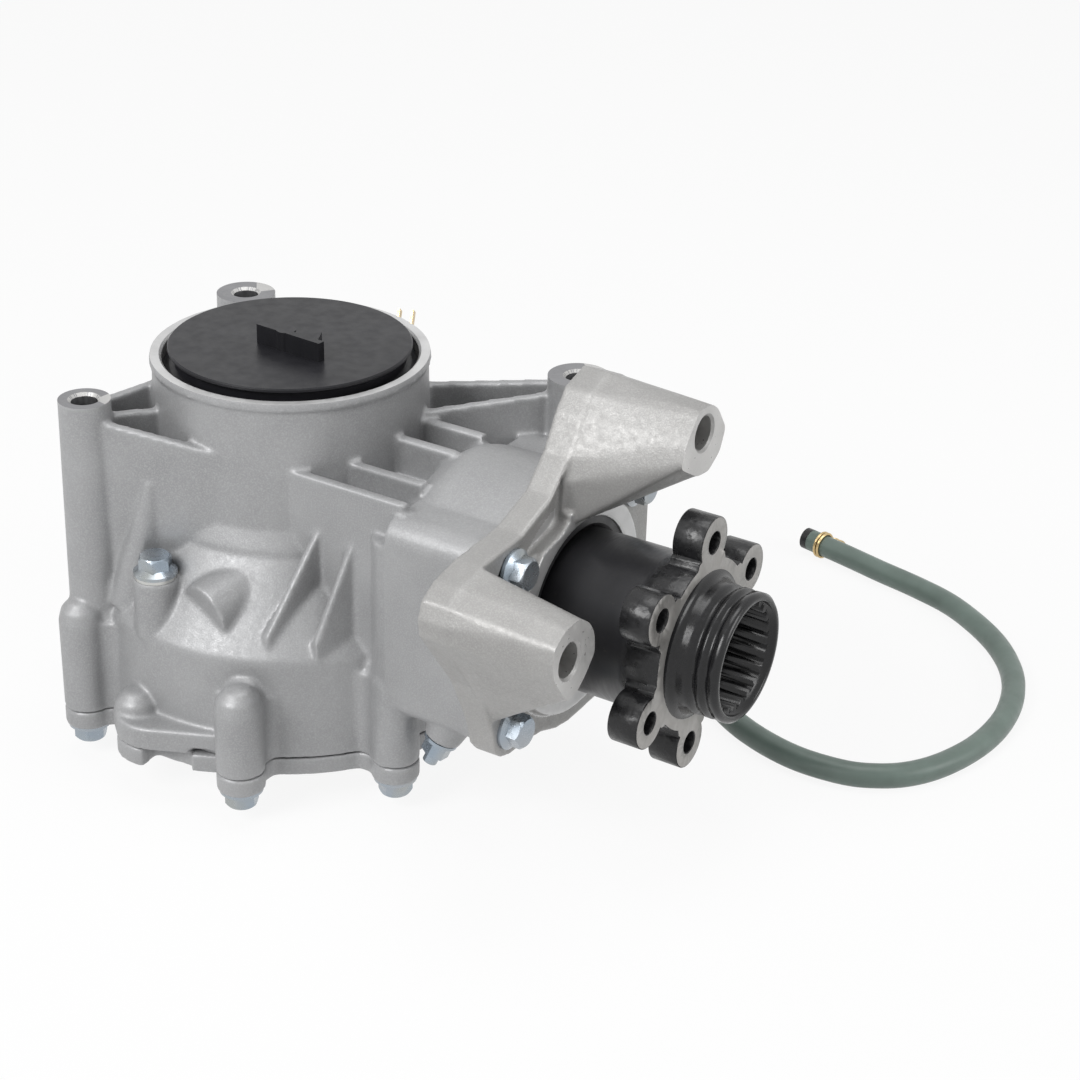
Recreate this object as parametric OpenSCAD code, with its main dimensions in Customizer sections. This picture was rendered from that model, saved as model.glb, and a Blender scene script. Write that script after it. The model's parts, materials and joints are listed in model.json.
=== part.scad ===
// Final-drive differential with a pinion brake flange, a caliper bracket and a breather hose.
// The origin is the centre of the cover's base face, where the ring gear axis leaves it.
// +Z runs up the ring gear axis and +X runs out along the pinion axis. All sizes are in mm.

/* [Main case] */
// Height of the upper rim above the base face
rim_z = 165; // [160:1:172]
// Radius of the bore in the upper rim
bore_r = 52; // [50:0.5:54]
// Thickness of the neck wall at the rim
neck_wall = 4; // [3.5:0.5:6]
// Growth of the neck radius from the rim down to its foot
neck_draft = 1.5; // [0.5:0.5:2.5]
// Height of the joint face between case and cover
joint_z = 23; // [21:1:25]
// Thickness of the lower case wall
case_wall = 6; // [5:0.5:8]
// Gap between the ring gear blank and the case wall
ring_room = 3; // [2.5:0.5:5]
// Height of the cone's lower edge above the ring gear pitch circle
shoulder_rise = 4.6; // [4:0.2:8]
// Height of the pinion axis above the base face
pinion_z = 90; // [88:1:94]

/* [Cover] */
// Thickness of the cover flange
cover_flange = 8; // [7:0.5:10]
// Outer radius of the base hub
base_r = 57; // [55:0.5:60]
// Radius of the mouth bore in the base
mouth_r = 33; // [32.5:0.5:36]
// Depth of the mouth bore
mouth_depth = 4; // [3:0.5:5]
// Number of cover bolts is the length of this list of their directions in degrees
cover_bolt_angles = [-120, -66.7, -28.3, 15, 58, 100, 145, 197]; // [-180:0.1:200]
// Heights of the bolt lobes on the case, one for each cover bolt
lobe_tops = [73, 61, 70, 44, 66, 66, 66, 66]; // [42:0.5:74]
// Radius of the cover bolt circle beyond the case wall
bolt_reach = 9; // [8.5:0.5:11]
// Radius of the lobes round the cover bolts
lobe_r = 9.8; // [9.2:0.2:11]
// Places in the bolt list whose bolts pass through a hollow dowel
dowel_lobes = [3, 7]; // [0:1:7]
// Outer radius of the hollow dowels
dowel_r = 6.2; // [6:0.1:6.6]
// Length of the hollow dowels
dowel_h = 12; // [10:1:14]
// Fillet radius between a lobe and the wall
lobe_fillet = 8; // [5:1:10]

/* [Fasteners] */
// Shank radius of the M8 bolts
bolt_r = 4; // [3.8:0.1:4.4]
// Radial clearance of a bolt in its hole
bolt_gap = 0.4; // [0.2:0.1:0.8]
// Radius of the flange under an M8 head
head_flange_r = 8.8; // [8.5:0.1:9.2]
// Width across the flats of an M8 head
head_af = 12; // [11:0.5:13]
// Height of an M8 head with its flange
head_h = 8; // [7:0.5:9]
// Thickness of the sealing washers
washer_t = 1.5; // [1:0.1:2]

/* [Oil and breather fittings] */
// Height of the seat of the oil level bolt
level_bolt_z = 90; // [86:0.5:92]
// Direction of the drain bolt in plan
drain_a = 168; // [160:1:176]
// Height of the drain bolt
drain_z = 39; // [38:0.5:44]
// Shank radius of the drain bolt
drain_r = 6; // [5.5:0.1:6.5]
// Shank radius of the stop stud
stud_r = 3; // [2.8:0.1:3.2]
// Place of the stop stud's boss
stud_p = [107, -44, 44]; // [-60:0.5:110]
// Lean of the stop stud from straight down
stud_tilt = 24; // [15:1:35]
// Direction of the breather boss in plan
nipple_a = 82; // [78:1:90]
// Direction in which the breather nipple points in plan
nipple_turn = 112; // [100:1:120]
// Dip of the breather nipple below the level
nipple_dip = 35; // [25:1:40]
// Height at which the breather nipple leaves its boss
nipple_z = 151; // [146:0.5:154]
// Radius of the nipple's shank
nipple_r = 4; // [3.5:0.1:4.2]
// Length of the nipple from the middle of its boss to its collar
nipple_collar = 11.6; // [11.6:0.1:13]

/* [Mounting bosses] */
// Height of the machined boss tops
boss_z = 157; // [153:1:160]
// Minor radius of the M12 mounting threads
boss_thread_r = 5.3; // [5.1:0.1:5.6]
// Depth of the mounting threads
boss_thread_depth = 26; // [22:1:32]
// Plan position of boss 1, on the front left
boss1 = [-46.7, -72.1]; // [-110:0.1:110]
// Radius of boss 1
boss1_r = 10.4; // [9.5:0.1:12]
// Plan position of boss 2, at the back
boss2 = [-67.9, 55.9]; // [-110:0.1:110]
// Plan position of boss 3, beside the tunnel
boss3 = [100.1, 61]; // [-110:0.1:110]
// Radius of bosses 2 and 3
boss_r = 12.8; // [12:0.1:14]
// Thickness of the cast ribs
rib_t = 4.5; // [3.5:0.5:6]

/* [Pinion tunnel] */
// Radius of the round barrel
barrel_r = 53; // [50:0.5:55]
// Distance from the ring axis to the bracket joint face
face_x = 125; // [124:0.5:128]
// Half spacing of the bracket bolts across
bolt_half_y = 45; // [44:0.5:47]
// Half spacing of the bracket bolts in height
bolt_half_z = 34; // [33:0.5:36]
// Radius of the bolt columns along the tunnel
column_r = 9; // [8:0.5:11]
// Distance from the ring axis to the back of the bolt columns
column_x = 84; // [80:1:90]

/* [Caliper bracket] */
// Thickness of the bracket plate
plate_t = 12; // [10:0.5:14]
// Distance from the ring axis to the caliper faces
caliper_x = 180; // [174:1:182]
// Position of the upper caliper boss across and in height
caliper_up = [20, 167]; // [10:0.5:175]
// Position of the lower caliper boss across and in height
caliper_low = [-74, 113]; // [-80:0.5:120]
// Radius of the caliper bolt holes
caliper_hole_r = 6.8; // [6:0.1:8]
// Radius of the machined nose round the pinion seal
nose_r = 45; // [43:0.5:47]
// Distance from the ring axis to the front of the nose
nose_x = 140.5; // [139:0.5:142]

/* [Pinion flange] */
// Outer radius of the sleeve that the seal runs on
sleeve_r = 31.8; // [31:0.2:32.4]
// Distance from the ring axis to the front of the brake flange
flange_x = 194.5; // [192:0.5:198]
// Thickness of the brake flange
flange_t = 12.5; // [11:0.5:14]
// Radius of the brake disc bolt circle
disc_pcr = 41.5; // [41:0.5:43]
// Number of brake disc bolts
disc_bolts = 6; // [5:1:6]
// Radius of the brake disc bolt holes
disc_hole_r = 4.4; // [4:0.1:5]
// Radius of the ears round those holes
ear_r = 10.4; // [9.5:0.1:11]
// Direction of the first ear in degrees from +Y towards +Z
ear_phase = 22.5; // [0:0.5:60]
// Distance from the ring axis to the open end of the hub
hub_end_x = 214.7; // [212:0.5:218]
// Outer radius of the hub
hub_r = 25.8; // [25.4:0.1:27]
// Number of splines for the propeller shaft
prop_splines = 24; // [20:1:30]
// Minor radius of those splines
prop_minor_r = 20; // [19:0.2:20.4]
// Depth of those splines
prop_tooth = 2; // [1.5:0.1:2.2]
// Depth of the plain pilot at the mouth of the hub
prop_pilot_t = 3; // [2:0.2:4]
// Major radius of the splines between the pinion and its flange
joint_major_r = 16.5; // [15.5:0.1:17]
// Number of those splines
joint_splines = 26; // [22:1:30]
// Radius of the thread for the pinion nut
thread_r = 11; // [10:0.5:12]

/* [Gears] */
// Transverse module of the ring gear and the pinion at their large end
gear_module = 4.3; // [4.1:0.05:4.4]
// Teeth on the ring gear
ring_teeth = 34; // [33:1:35]
// Teeth on the pinion
pinion_teeth = 11; // [10:1:12]
// Pressure angle of all gears, across the teeth
pressure = 22; // [20:0.5:24]
// Spiral angle of the ring gear and the pinion
spiral = 30; // [0:1:35]
// Length of the spiral teeth along the cone
face_w = 22; // [18:1:24]
// Gap between two meshing flanks
flank_gap = 0.3; // [0.25:0.05:0.4]
// Module of the gears inside the differential case
diff_module = 3.5; // [3.3:0.05:3.6]
// Teeth on each side gear
side_teeth = 14; // [14:2:16]
// Teeth on each spider gear
spider_teeth = 10; // [10:2:12]
// Height of the differential centre above the base face
diff_z = 72; // [71:0.5:73]
// Radius of the spherical cavity in the differential case
diff_cavity_r = 33; // [32.8:0.1:34]
// Outer radius of the differential case
diff_r = 46; // [45:0.5:46.5]
// Radius of the cross pin
cross_pin_r = 8; // [7:0.5:8.5]
// Major radius of the axle splines
axle_major_r = 13.5; // [12.5:0.1:14]
// Number of axle splines
axle_splines = 27; // [24:1:30]
// Number of bolts that hold the ring gear
ring_bolt_count = 10; // [8:1:12]
// Shank radius of the ring gear bolts
ring_bolt_r = 5; // [4.5:0.1:5.2]
// Number of screws that join the halves of the differential case
split_screws = 6; // [4:1:8]
// Radius of those screws
split_screw_r = 3; // [2.5:0.1:3.2]
// Length of the hubs of the side gears
side_hub_len = 15; // [14:0.5:16]

/* [Bearings and seals] */
// Bore radius of the two carrier bearings
carrier_bore_r = 30; // [29:0.5:31]
// Outer radius of the two carrier bearings
carrier_out_r = 47.5; // [46.5:0.5:48]
// Width of the two carrier bearings
carrier_w = 18; // [17:0.5:19]
// Bore radius of the two pinion bearings
pinion_bore_r = 20; // [19.5:0.5:21]
// Outer radius of the two pinion bearings
pinion_out_r = 40; // [39.5:0.5:41]
// Width of the two pinion bearings
pinion_w = 18; // [17:0.5:18.5]
// Balls in each carrier bearing
carrier_balls = 14; // [10:1:15]
// Balls in each pinion bearing
pinion_balls = 11; // [8:1:12]
// Outer radius of the two axle seals
axle_seal_r = 31; // [30:0.5:32]
// Radius of the lip of the axle seals
axle_lip_r = 14.2; // [14.1:0.1:15]
// Radius of the lips of case and cover that the axle seals rest against
axle_passage_r = 25; // [22:0.5:26]
// Outer radius of the pinion seal
pinion_seal_r = 36.4; // [36:0.2:38]
// Running clearance of a seal lip or a journal
run_gap = 0.08; // [0.05:0.01:0.1]

/* [Transport plug] */
// Radius of the plug's disc
plug_disc_r = 49.5; // [48:0.5:50.5]
// Thickness of the plug's disc
plug_disc_t = 2.2; // [1.8:0.1:3]
// Height of the disc's underside above the rim
plug_lift = 1.3; // [0.5:0.1:3]
// Depth of the plug's skirt below the disc
plug_depth = 17; // [14:1:19]
// Wall of the plug's skirt
plug_wall = 2.5; // [2:0.25:3.5]
// Height of the grip on the disc
grip_h = 8; // [6:0.5:10]

/* [Breather hose] */
// Outer diameter of the hose
hose_d = 10.5; // [9:0.5:12]
// Inner diameter of the hose
hose_bore = 6; // [5:0.5:7]

/* [Hidden] */
$fn = 96;
eps = 0.01;

cast_colour = [0.56, 0.56, 0.57];
bracket_colour = [0.68, 0.67, 0.66];
steel_colour = [0.72, 0.73, 0.75];
zinc_colour = [0.74, 0.78, 0.82];
black_colour = [0.08, 0.08, 0.09];
forged_colour = [0.16, 0.16, 0.17];
brass_colour = [0.72, 0.58, 0.32];
hose_colour = [0.4, 0.46, 0.43];

// Gear geometry. Both shafts of the ring gear and the pinion meet in one point, the apex.
ring_pitch_r = gear_module * ring_teeth / 2;
pinion_pitch_r = gear_module * pinion_teeth / 2;
ring_cone = atan(ring_teeth / pinion_teeth);
pinion_cone = 90 - ring_cone;
cone_len = norm([ring_pitch_r, pinion_pitch_r]);
cone_len_in = cone_len - face_w;
ring_addendum = 0.5 * gear_module;
pinion_addendum = 1.2 * gear_module;
tooth_foot_gap = 0.2 * gear_module;
pinion_tip_r = cone_len * sin(pinion_cone + deg_of(pinion_addendum, cone_len));
ring_blank_r = ring_pitch_r + 2.9;
ring_bore_r = diff_r + 2;
ring_back_z = pinion_z - pinion_pitch_r - 16.35;

side_pitch_r = diff_module * side_teeth / 2;
spider_pitch_r = diff_module * spider_teeth / 2;
side_cone = atan(side_teeth / spider_teeth);
spider_cone = 90 - side_cone;
diff_cone_len = norm([side_pitch_r, spider_pitch_r]);
diff_face_w = 10.5;
diff_addendum = 0.95 * diff_module;
diff_dedendum = 1.15 * diff_module;

// Case radii and heights that follow the gears
rim_r = bore_r + neck_wall;
neck_foot_r = rim_r + neck_draft;
cavity_r = ring_blank_r + ring_room;
wall_r = cavity_r + case_wall;
bolt_circle_r = wall_r + bolt_reach;
shoulder_z = pinion_z - pinion_pitch_r + shoulder_rise;
cone_top_r = neck_foot_r + 1;
cone_top_z = shoulder_z + wall_r - cone_top_r;
cover_z = joint_z - cover_flange;
neck_cavity_r = neck_foot_r - 5.5;

// Carrier bearings and axle seals, from the base up
seal_w = 7;
shim_t = 1;
lower_seal_z = mouth_depth;
lower_race_z = lower_seal_z + seal_w + 2 + shim_t;
diff_hub_z = lower_race_z + 0.5;
diff_top_z = diff_z + diff_cavity_r + 3;
upper_race_z = diff_top_z;
upper_lip_z = upper_race_z + carrier_w;
upper_seal_z = upper_lip_z + 3;
web_top_z = upper_seal_z + 8;

// Pinion bearings, from the gear head out
pinion_seat_x = face_x - 45;
inner_race_x = pinion_seat_x;
outer_race_x = face_x - 4 - pinion_w;
chamber_r = pinion_tip_r + 2.8;
flange_start_x = face_x - 4;

ball_gap = 0.25;
race_gap = 0.6;

// Pilot and run-out of the hub's inner splines
prop_pilot_r = prop_minor_r + prop_tooth + 0.6;

// Fittings, dowels and seals
lug_a = -86;
level_bolt_p = [-11.9, -75.1];
lump_p = [12, -74, 80.5];
lump_lean = 75;
lump_turn = 74;
o_ring_r = cavity_r + 2.6;
vent_p = [8.4, 59.4];
hose_start = nipple_collar + 2.5;
washer_seat_r = wall_r + 1;

// Differential case
ring_bolt_pcr = ring_bore_r + 9.5;
split_screw_pcr = diff_cavity_r + 6.6;
cross_half = diff_r - 3;
side_hub_r = 20;
side_back_r = side_pitch_r + 1;
side_back_z = spider_pitch_r + 12;
spider_back_r = diff_cavity_r - 1;
spiral_steps = 6;

// Outline of the bracket plate, with Y to the right and Z up
plate_outline = [[-9.7, 37.4], [-21.4, 41.5], [-34, 43], [-44, 43], [-50.5, 45], [-55, 50],
    [-57, 58], [-60, 66], [-68.5, 84], [-89.4, 113], [-90.3, 120], [-87.5, 127], [-80, 131.5],
    [-65.8, 134.5], [-39.1, 136], [-18.5, 143.4], [-6.2, 155.4], [1.7, 169], [8.6, 177],
    [21.6, 181], [33, 176], [36, 166], [34, 150], [40, 138], [52, 132], [58, 124], [58, 56],
    [50, 46], [36, 38], [0, 36]];

// Outlines of the arms where they leave the plate and at their machined tips,
// with Y to the right and Z up
upper_root = [[-8.7, 126.4], [-9, 146], [-5.9, 155.4], [2, 168.8], [8.8, 176.7], [21.6, 180.7],
    [32.7, 175.7], [35.7, 166], [33.7, 150], [12, 127]];
upper_tip = [for (q = [[-4.9, 10.8], [5.2, 10.1], [10.2, 6.5], [17.2, -3.7], [13.6, -12],
    [5, -17.2], [-4.1, -16], [-17.2, -8], [-13.7, 0.7], [-10.8, 4.2]]) caliper_up + q];
lower_root = [[-56.5, 64], [-68.2, 84.2], [-89.1, 113.1], [-90, 120], [-87.2, 126.7],
    [-79.9, 131.2], [-66, 134.2], [-54, 116], [-46, 100], [-48, 75], [-53, 63.5]];
lower_tip = [for (q = [[6.1, 14.5], [13.3, 9.5], [16.6, 4.4], [17.6, -3.7], [11.6, -10.4],
    [5.9, -14.8], [-0.9, -16.5], [-10.3, -3.4], [-11.6, 3.1], [-10.6, 9.5],
    [-3.6, 13.7]]) caliper_low + q];

// Angle in degrees that a length spans on a sphere of the given radius
function deg_of(len, r) = len / r * 180 / PI;

// Points of an arc from angle a to angle b in n steps
function arc(c, r, a, b, n = 6) = [for (i = [0 : n])
    c + r * [cos(a + (b - a) * i / n), sin(a + (b - a) * i / n)]];

// Point at radius r and direction a in plan
function polar(r, a) = r * [cos(a), sin(a)];

// Turns a shape drawn along +Z so that it runs along +X, with the plan axes on Y and Z
module along_x(x = 0, y = 0, z = 0) translate([x, y, z]) rotate([90, 0, 90]) children();

module tube(r_out, r_in, h) {
    difference() {
        cylinder(r = r_out, h = h);
        translate([0, 0, -1]) cylinder(r = r_in, h = h + 2);
    }
}

// Upright plate between two plan points, with its own top height at each end
module web(p, q, t, top_p, top_q, foot) {
    d = q - p;
    translate([p[0], p[1], 0]) rotate([0, 0, atan2(d[1], d[0])]) translate([0, t / 2, 0])
        rotate([90, 0, 0]) linear_extrude(t)
            polygon([[0, foot], [norm(d), foot], [norm(d), top_q], [0, top_p]]);
}

// Hexagon flange bolt with its head up and the underside of its head at zero
module flange_bolt(len, r = bolt_r, flange_r = head_flange_r, af = head_af, h = head_h) {
    translate([0, 0, -len]) cylinder(r = r, h = len + 1);
    cylinder(r = flange_r, h = 1.4);
    translate([0, 0, 1.4]) cylinder(r1 = flange_r, r2 = af / 2, h = 1.6);
    intersection() {
        cylinder(r = af / sqrt(3), h = h, $fn = 6);
        translate([0, 0, -1]) cylinder(r1 = af / sqrt(3) + h - 0.2, r2 = af / sqrt(3) - 1.2, h = h + 1);
    }
}

// Neck between the wall and one lobe of the outline, with a fillet on each side
module lobe_neck(a) {
    // The fillets end a little inside the wall and the lobe, so that no two surfaces only touch
    bite = 0.9;
    fillet_centre_r = wall_r - bite + lobe_fillet;
    reach = lobe_r - bite / 2 + lobe_fillet;
    turn = acos((fillet_centre_r ^ 2 + bolt_circle_r ^ 2 - reach ^ 2)
        / (2 * fillet_centre_r * bolt_circle_r));
    centre = polar(fillet_centre_r, turn);
    to_lobe = [bolt_circle_r, 0] - centre;
    fillet = arc(centre, lobe_fillet, 180 + turn, 360 + atan2(to_lobe[1], to_lobe[0]), 5);
    rotate(a) polygon(concat([polar(wall_r - 4, turn)], fillet,
        [for (i = [5 : -1 : 0]) [fillet[i][0], -fillet[i][1]]],
        [polar(wall_r - 4, -turn)]));
}

// Places of the cover bolts, and of the dowels round two of them
module at_cover_bolts() for (a = cover_bolt_angles) rotate([0, 0, a]) translate([bolt_circle_r, 0, 0])
    children();
module at_dowels() for (i = dowel_lobes) rotate([0, 0, cover_bolt_angles[i]])
    translate([bolt_circle_r, 0, 0]) children();

// Outline of the joint between case and cover
module joint_outline() {
    circle(r = wall_r);
    for (a = cover_bolt_angles) {
        lobe_neck(a);
        translate(polar(bolt_circle_r, a)) circle(r = lobe_r);
    }
    pry_lug_outline();
}

// Lug with the ledge over the pry slot
module pry_lug_outline() {
    rotate(lug_a) polygon([[wall_r - 9, -34], [wall_r + 3.5, -29.5], [wall_r + 8.5, -26.5],
        [wall_r + 11.5, -22], [wall_r + 13, -15], [wall_r + 12, -9], [wall_r + 1, 19],
        [wall_r - 6, 21]]);
}

module main_case() {
    color(cast_colour) difference() {
        union() {
            case_shell();
            case_lobes();
            pry_lug();
            tunnel();
            tunnel_neck();
            mounting_bosses();
            shoulder_features();
            stud_boss();
            nipple_boss();
            drain_boss();
        }
        case_cavity();
        tunnel_bores();
        case_holes();
    }
}

module case_shell() {
    // Wall, rounded shoulder, cone and neck as one turned profile
    edge = 6;
    rotate_extrude() polygon(concat(
        [[0, joint_z], [wall_r, joint_z], [wall_r - 0.5, shoulder_z - edge]],
        arc([wall_r - 0.5 - edge, shoulder_z - edge], edge, 0, 45, 3),
        arc([cone_top_r + edge * 0.414 + edge, cone_top_z + edge * 0.414 * 2.4], edge, 225, 180, 3),
        [[neck_foot_r, cone_top_z + 14], [rim_r, rim_z - 4], [rim_r, rim_z - 0.6],
            [rim_r - 0.6, rim_z], [0, rim_z]]));
}

// Upright bar with a domed top, standing on zero
module domed_bar(r, h) rotate_extrude() polygon(concat([[0, 0], [r, 0]], arc([0, h - r], r, 0, 90, 3)));

module case_lobes() {
    for (i = [0 : len(cover_bolt_angles) - 1]) rotate([0, 0, cover_bolt_angles[i]]) {
        top = lobe_tops[i];
        translate([0, 0, joint_z]) linear_extrude(top - lobe_r - joint_z) lobe_neck(0);
        translate([bolt_circle_r, 0, joint_z]) domed_bar(lobe_r, top - joint_z);
        // Back of the lobe, leaning into the wall
        lean_z = max(top - 2.2 * lobe_r, joint_z + 6);
        back_r = lobe_r - 1;
        translate([bolt_circle_r - 3, 0, lean_z]) rotate([0, -35, 0])
            domed_bar(back_r, (top - 1 - back_r - lean_z) / cos(35) + back_r);
    }
}

// Ledge over the pry slot, with a knob at its end
module pry_lug() {
    translate([0, 0, joint_z]) linear_extrude(10) pry_lug_outline();
    rotate([0, 0, lug_a - 15]) translate([wall_r + 1.6, 0, joint_z + 1.3]) domed_bar(10, 18);
}

module tunnel() {
    dome = 18;
    // Round barrel with a domed back end
    along_x(0, 0, pinion_z) rotate_extrude() polygon(concat(
        [[0, face_x], [barrel_r, face_x]],
        arc([barrel_r - dome, column_x + 8], dome, 0, -90, 6),
        [[0, column_x + 8 - dome]]));
    // Four bolt columns with walls between them
    along_x(column_x, 0, pinion_z) linear_extrude(face_x - column_x) {
        square([2 * (bolt_half_y + column_r), 2 * bolt_half_z], center = true);
        square([2 * bolt_half_y, 2 * (bolt_half_z + column_r)], center = true);
        for (y = [-1, 1], z = [-1, 1]) translate([y * bolt_half_y, z * bolt_half_z])
            circle(r = column_r);
    }
    // Rounded back edge of the column walls
    for (y = [-1, 1]) translate([column_x, y * (bolt_half_y - 2), pinion_z - bolt_half_z])
        cylinder(r = column_r + 1.6, h = 2 * bolt_half_z - 2);
}

// Block and ribs that join the tunnel to the neck
module tunnel_neck() {
    floor_z = pinion_z + chamber_r + 5.5;
    foot_z = shoulder_z - 6;
    side = bolt_half_y + 1;
    translate([20, -side, foot_z]) cube([column_x - 14, 2 * side, floor_z - foot_z]);
    web([28, -side + rib_t / 2], [column_x + 4, -side + rib_t / 2], rib_t, 137.3, 137.3, floor_z - 2);
    web([40, -side + 20], [column_x, -side + 20], rib_t, 138, 138, floor_z - 2);
    web([45, -4], [column_x, -4], rib_t, 143, 143, floor_z - 2);
    web([45, 16], [column_x, 16], rib_t, 143, 143, floor_z - 2);
}

module mounting_bosses() {
    foot = shoulder_z - 8;
    // Columns, ribs and floors start at different heights, since faces in one plane don't join cleanly
    rib_foot = foot + 1.2;
    floor_foot = foot + 2.1;
    // Boss 1 with its front wall, a wedge behind it and two pocket ribs
    translate([boss1[0], boss1[1], foot]) cylinder(r1 = boss1_r + 1, r2 = boss1_r, h = boss_z - foot);
    front = [17.7, -49.7];
    away = polar(neck_foot_r - 1, -147);
    front_p = boss1 + [0.3, -3.3];
    web(front_p, front, rib_t, boss_z - 6, 139, rib_foot);
    back_p = boss1 + polar(boss1_r - rib_t / 2, 170);
    web(back_p, away, rib_t, boss_z - 7, 150, rib_foot);
    web(boss1, polar(neck_foot_r - 1, boss_angle(boss1)), rib_t, boss_z - 7, 148, rib_foot);
    translate([0, 0, floor_foot]) linear_extrude(132 - floor_foot)
        polygon([front_p, front, [0, 0], away, back_p]);

    // Boss 2 with a rib on each side
    boss2_a = boss_angle(boss2);
    translate([boss2[0], boss2[1], foot]) cylinder(r1 = boss_r + 1.2, r2 = boss_r, h = boss_z - foot);
    for (s = [-1, 1])
        web(boss2 + polar(boss_r - rib_t / 2, boss2_a + s * 90),
            polar(neck_foot_r - 2, boss2_a + s * 28),
            rib_t, boss_z - 7, 148, rib_foot);
    translate([0, 0, floor_foot]) linear_extrude(126 - floor_foot)
        polygon([boss2 + polar(boss_r - 3, boss2_a - 90), [0, 0],
            boss2 + polar(boss_r - 3, boss2_a + 90)]);

    // Boss 3 stands beside the tunnel on two ribs from the neck
    foot3 = pinion_z - 10;
    translate([boss3[0], boss3[1], foot3]) cylinder(r1 = boss_r + 1, r2 = boss_r, h = boss_z - foot3);
    web([53, 17], boss3 + [-8, -7], rib_t, 145, 150, foot3 + 1.2);
    web([38, 42], boss3 + [-10, 7], rib_t, 145, 150, foot3 + 1.2);
    translate([0, 0, foot3 + 2.1]) linear_extrude(32)
        polygon([[40, 0], boss3 + [8, -16], boss3 + [-8, 10], [30, 44]]);
}

function boss_angle(p) = atan2(p[1], p[0]);

module shoulder_features() {
    foot = shoulder_z - 6;
    // Boss for the oil level bolt
    translate([level_bolt_p[0], level_bolt_p[1], foot]) cylinder(r = 9.2, h = level_bolt_z - foot);
    // Slanted lump beside it, a round bar that sinks into the cone
    translate(lump_p) rotate([0, lump_lean, lump_turn]) cylinder(r = 12, h = 36);
    // Leaning pillar on the front wall
    translate([-31, -65, 70]) rotate([0, 10.5, 0]) cylinder(r1 = 13.2, r2 = 3.2, h = 57);
    // Two thin gussets between the cone and the tunnel block
    web([38.7, -70.8], [48, -42], 3.5, shoulder_z + 4.5, 121.7, foot);
    web([56, -61.6], [64.6, -42], 3.5, shoulder_z + 4, 124, foot + 0.7);
}

module stud_frame() translate(stud_p) rotate([0, 0, 31.5]) rotate([0, 180 + stud_tilt, 0]) children();
module stud_boss() stud_frame() translate([0, 0, -14]) cylinder(r1 = 11, r2 = 7.5, h = 18);

// The breather boss is a column on the back of the neck, and the nipple leans down out of it
module nipple_frame() {
    translate([vent_p[0], vent_p[1], nipple_z]) rotate([0, 0, nipple_turn])
        rotate([0, 90 + nipple_dip, 0]) children();
}
module nipple_boss() translate([vent_p[0], vent_p[1], shoulder_z])
    cylinder(r = 6.5, h = nipple_z + 5 - shoulder_z);

module case_cavity() {
    // Ring gear room, cone, neck room, bearing seat, seal seat and the open upper bore
    inner_cone = shoulder_z + wall_r - 1 - case_wall * 1.35;
    translate([0, 0, joint_z - 1]) cylinder(r = cavity_r, h = inner_cone - cavity_r - joint_z + 1);
    translate([0, 0, inner_cone - cavity_r - eps])
        cylinder(r1 = cavity_r, r2 = neck_cavity_r, h = cavity_r - neck_cavity_r + 2 * eps);
    translate([0, 0, inner_cone - neck_cavity_r])
        cylinder(r = neck_cavity_r, h = upper_race_z - inner_cone + neck_cavity_r);
    translate([0, 0, upper_race_z - 1]) cylinder(r = carrier_out_r, h = carrier_w + 1);
    translate([0, 0, upper_lip_z - 1]) cylinder(r = axle_passage_r, h = 10);
    translate([0, 0, upper_seal_z]) cylinder(r = axle_seal_r, h = 20);
    translate([0, 0, web_top_z]) cylinder(r = bore_r, h = rim_z);
    translate([0, 0, rim_z - 1]) cylinder(r1 = bore_r, r2 = bore_r + 1.5, h = 1.5);
}

module tunnel_bores() {
    along_x(30, 0, pinion_z) cylinder(r = chamber_r, h = pinion_seat_x - 30 - 3);
    along_x(30, 0, pinion_z) cylinder(r = pinion_out_r - 5, h = pinion_seat_x - 29);
    along_x(pinion_seat_x, 0, pinion_z) cylinder(r = pinion_out_r, h = face_x - pinion_seat_x + 1);
    for (y = [-1, 1], z = [-1, 1]) along_x(face_x - 24, y * bolt_half_y, pinion_z + z * bolt_half_z)
        cylinder(r = bolt_r, h = 30);
}

module case_holes() {
    at_cover_bolts() translate([0, 0, joint_z - 1]) cylinder(r = bolt_r, h = 26);
    for (b = [boss1, boss2, boss3]) translate([b[0], b[1], boss_z]) {
        translate([0, 0, -boss_thread_depth]) cylinder(r = boss_thread_r, h = boss_thread_depth + 1);
        translate([0, 0, -1.6]) cylinder(r1 = boss_thread_r, r2 = boss_thread_r + 2, h = 2);
    }
    translate([level_bolt_p[0], level_bolt_p[1], level_bolt_z]) {
        translate([0, 0, -18]) cylinder(r = bolt_r, h = 20);
        cylinder(r = 9.6, h = 12);
    }
    stud_frame() translate([0, 0, -6]) cylinder(r = stud_r, h = 20);
    nipple_frame() cylinder(r = nipple_r, h = 20);
    // Vent passage from the nipple down the boss and into the neck room
    vent_z = upper_race_z - 8;
    translate([vent_p[0], vent_p[1], vent_z - 1.8]) cylinder(r = 1.8, h = nipple_z - vent_z + 2);
    rotate([0, 0, nipple_a]) translate([neck_cavity_r - 3, 0, vent_z]) rotate([0, 90, 0])
        cylinder(r = 1.6, h = neck_foot_r + 5 - neck_cavity_r);
    at_dowels() translate([0, 0, joint_z - 1]) cylinder(r = dowel_r, h = dowel_h / 2 + 1);
    drain_cut();
    // Pry slot between case and cover
    rotate([0, 0, lug_a]) translate([wall_r + 0.8, 7, joint_z - 1]) cube([14, 13, 3.4]);
}

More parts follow.
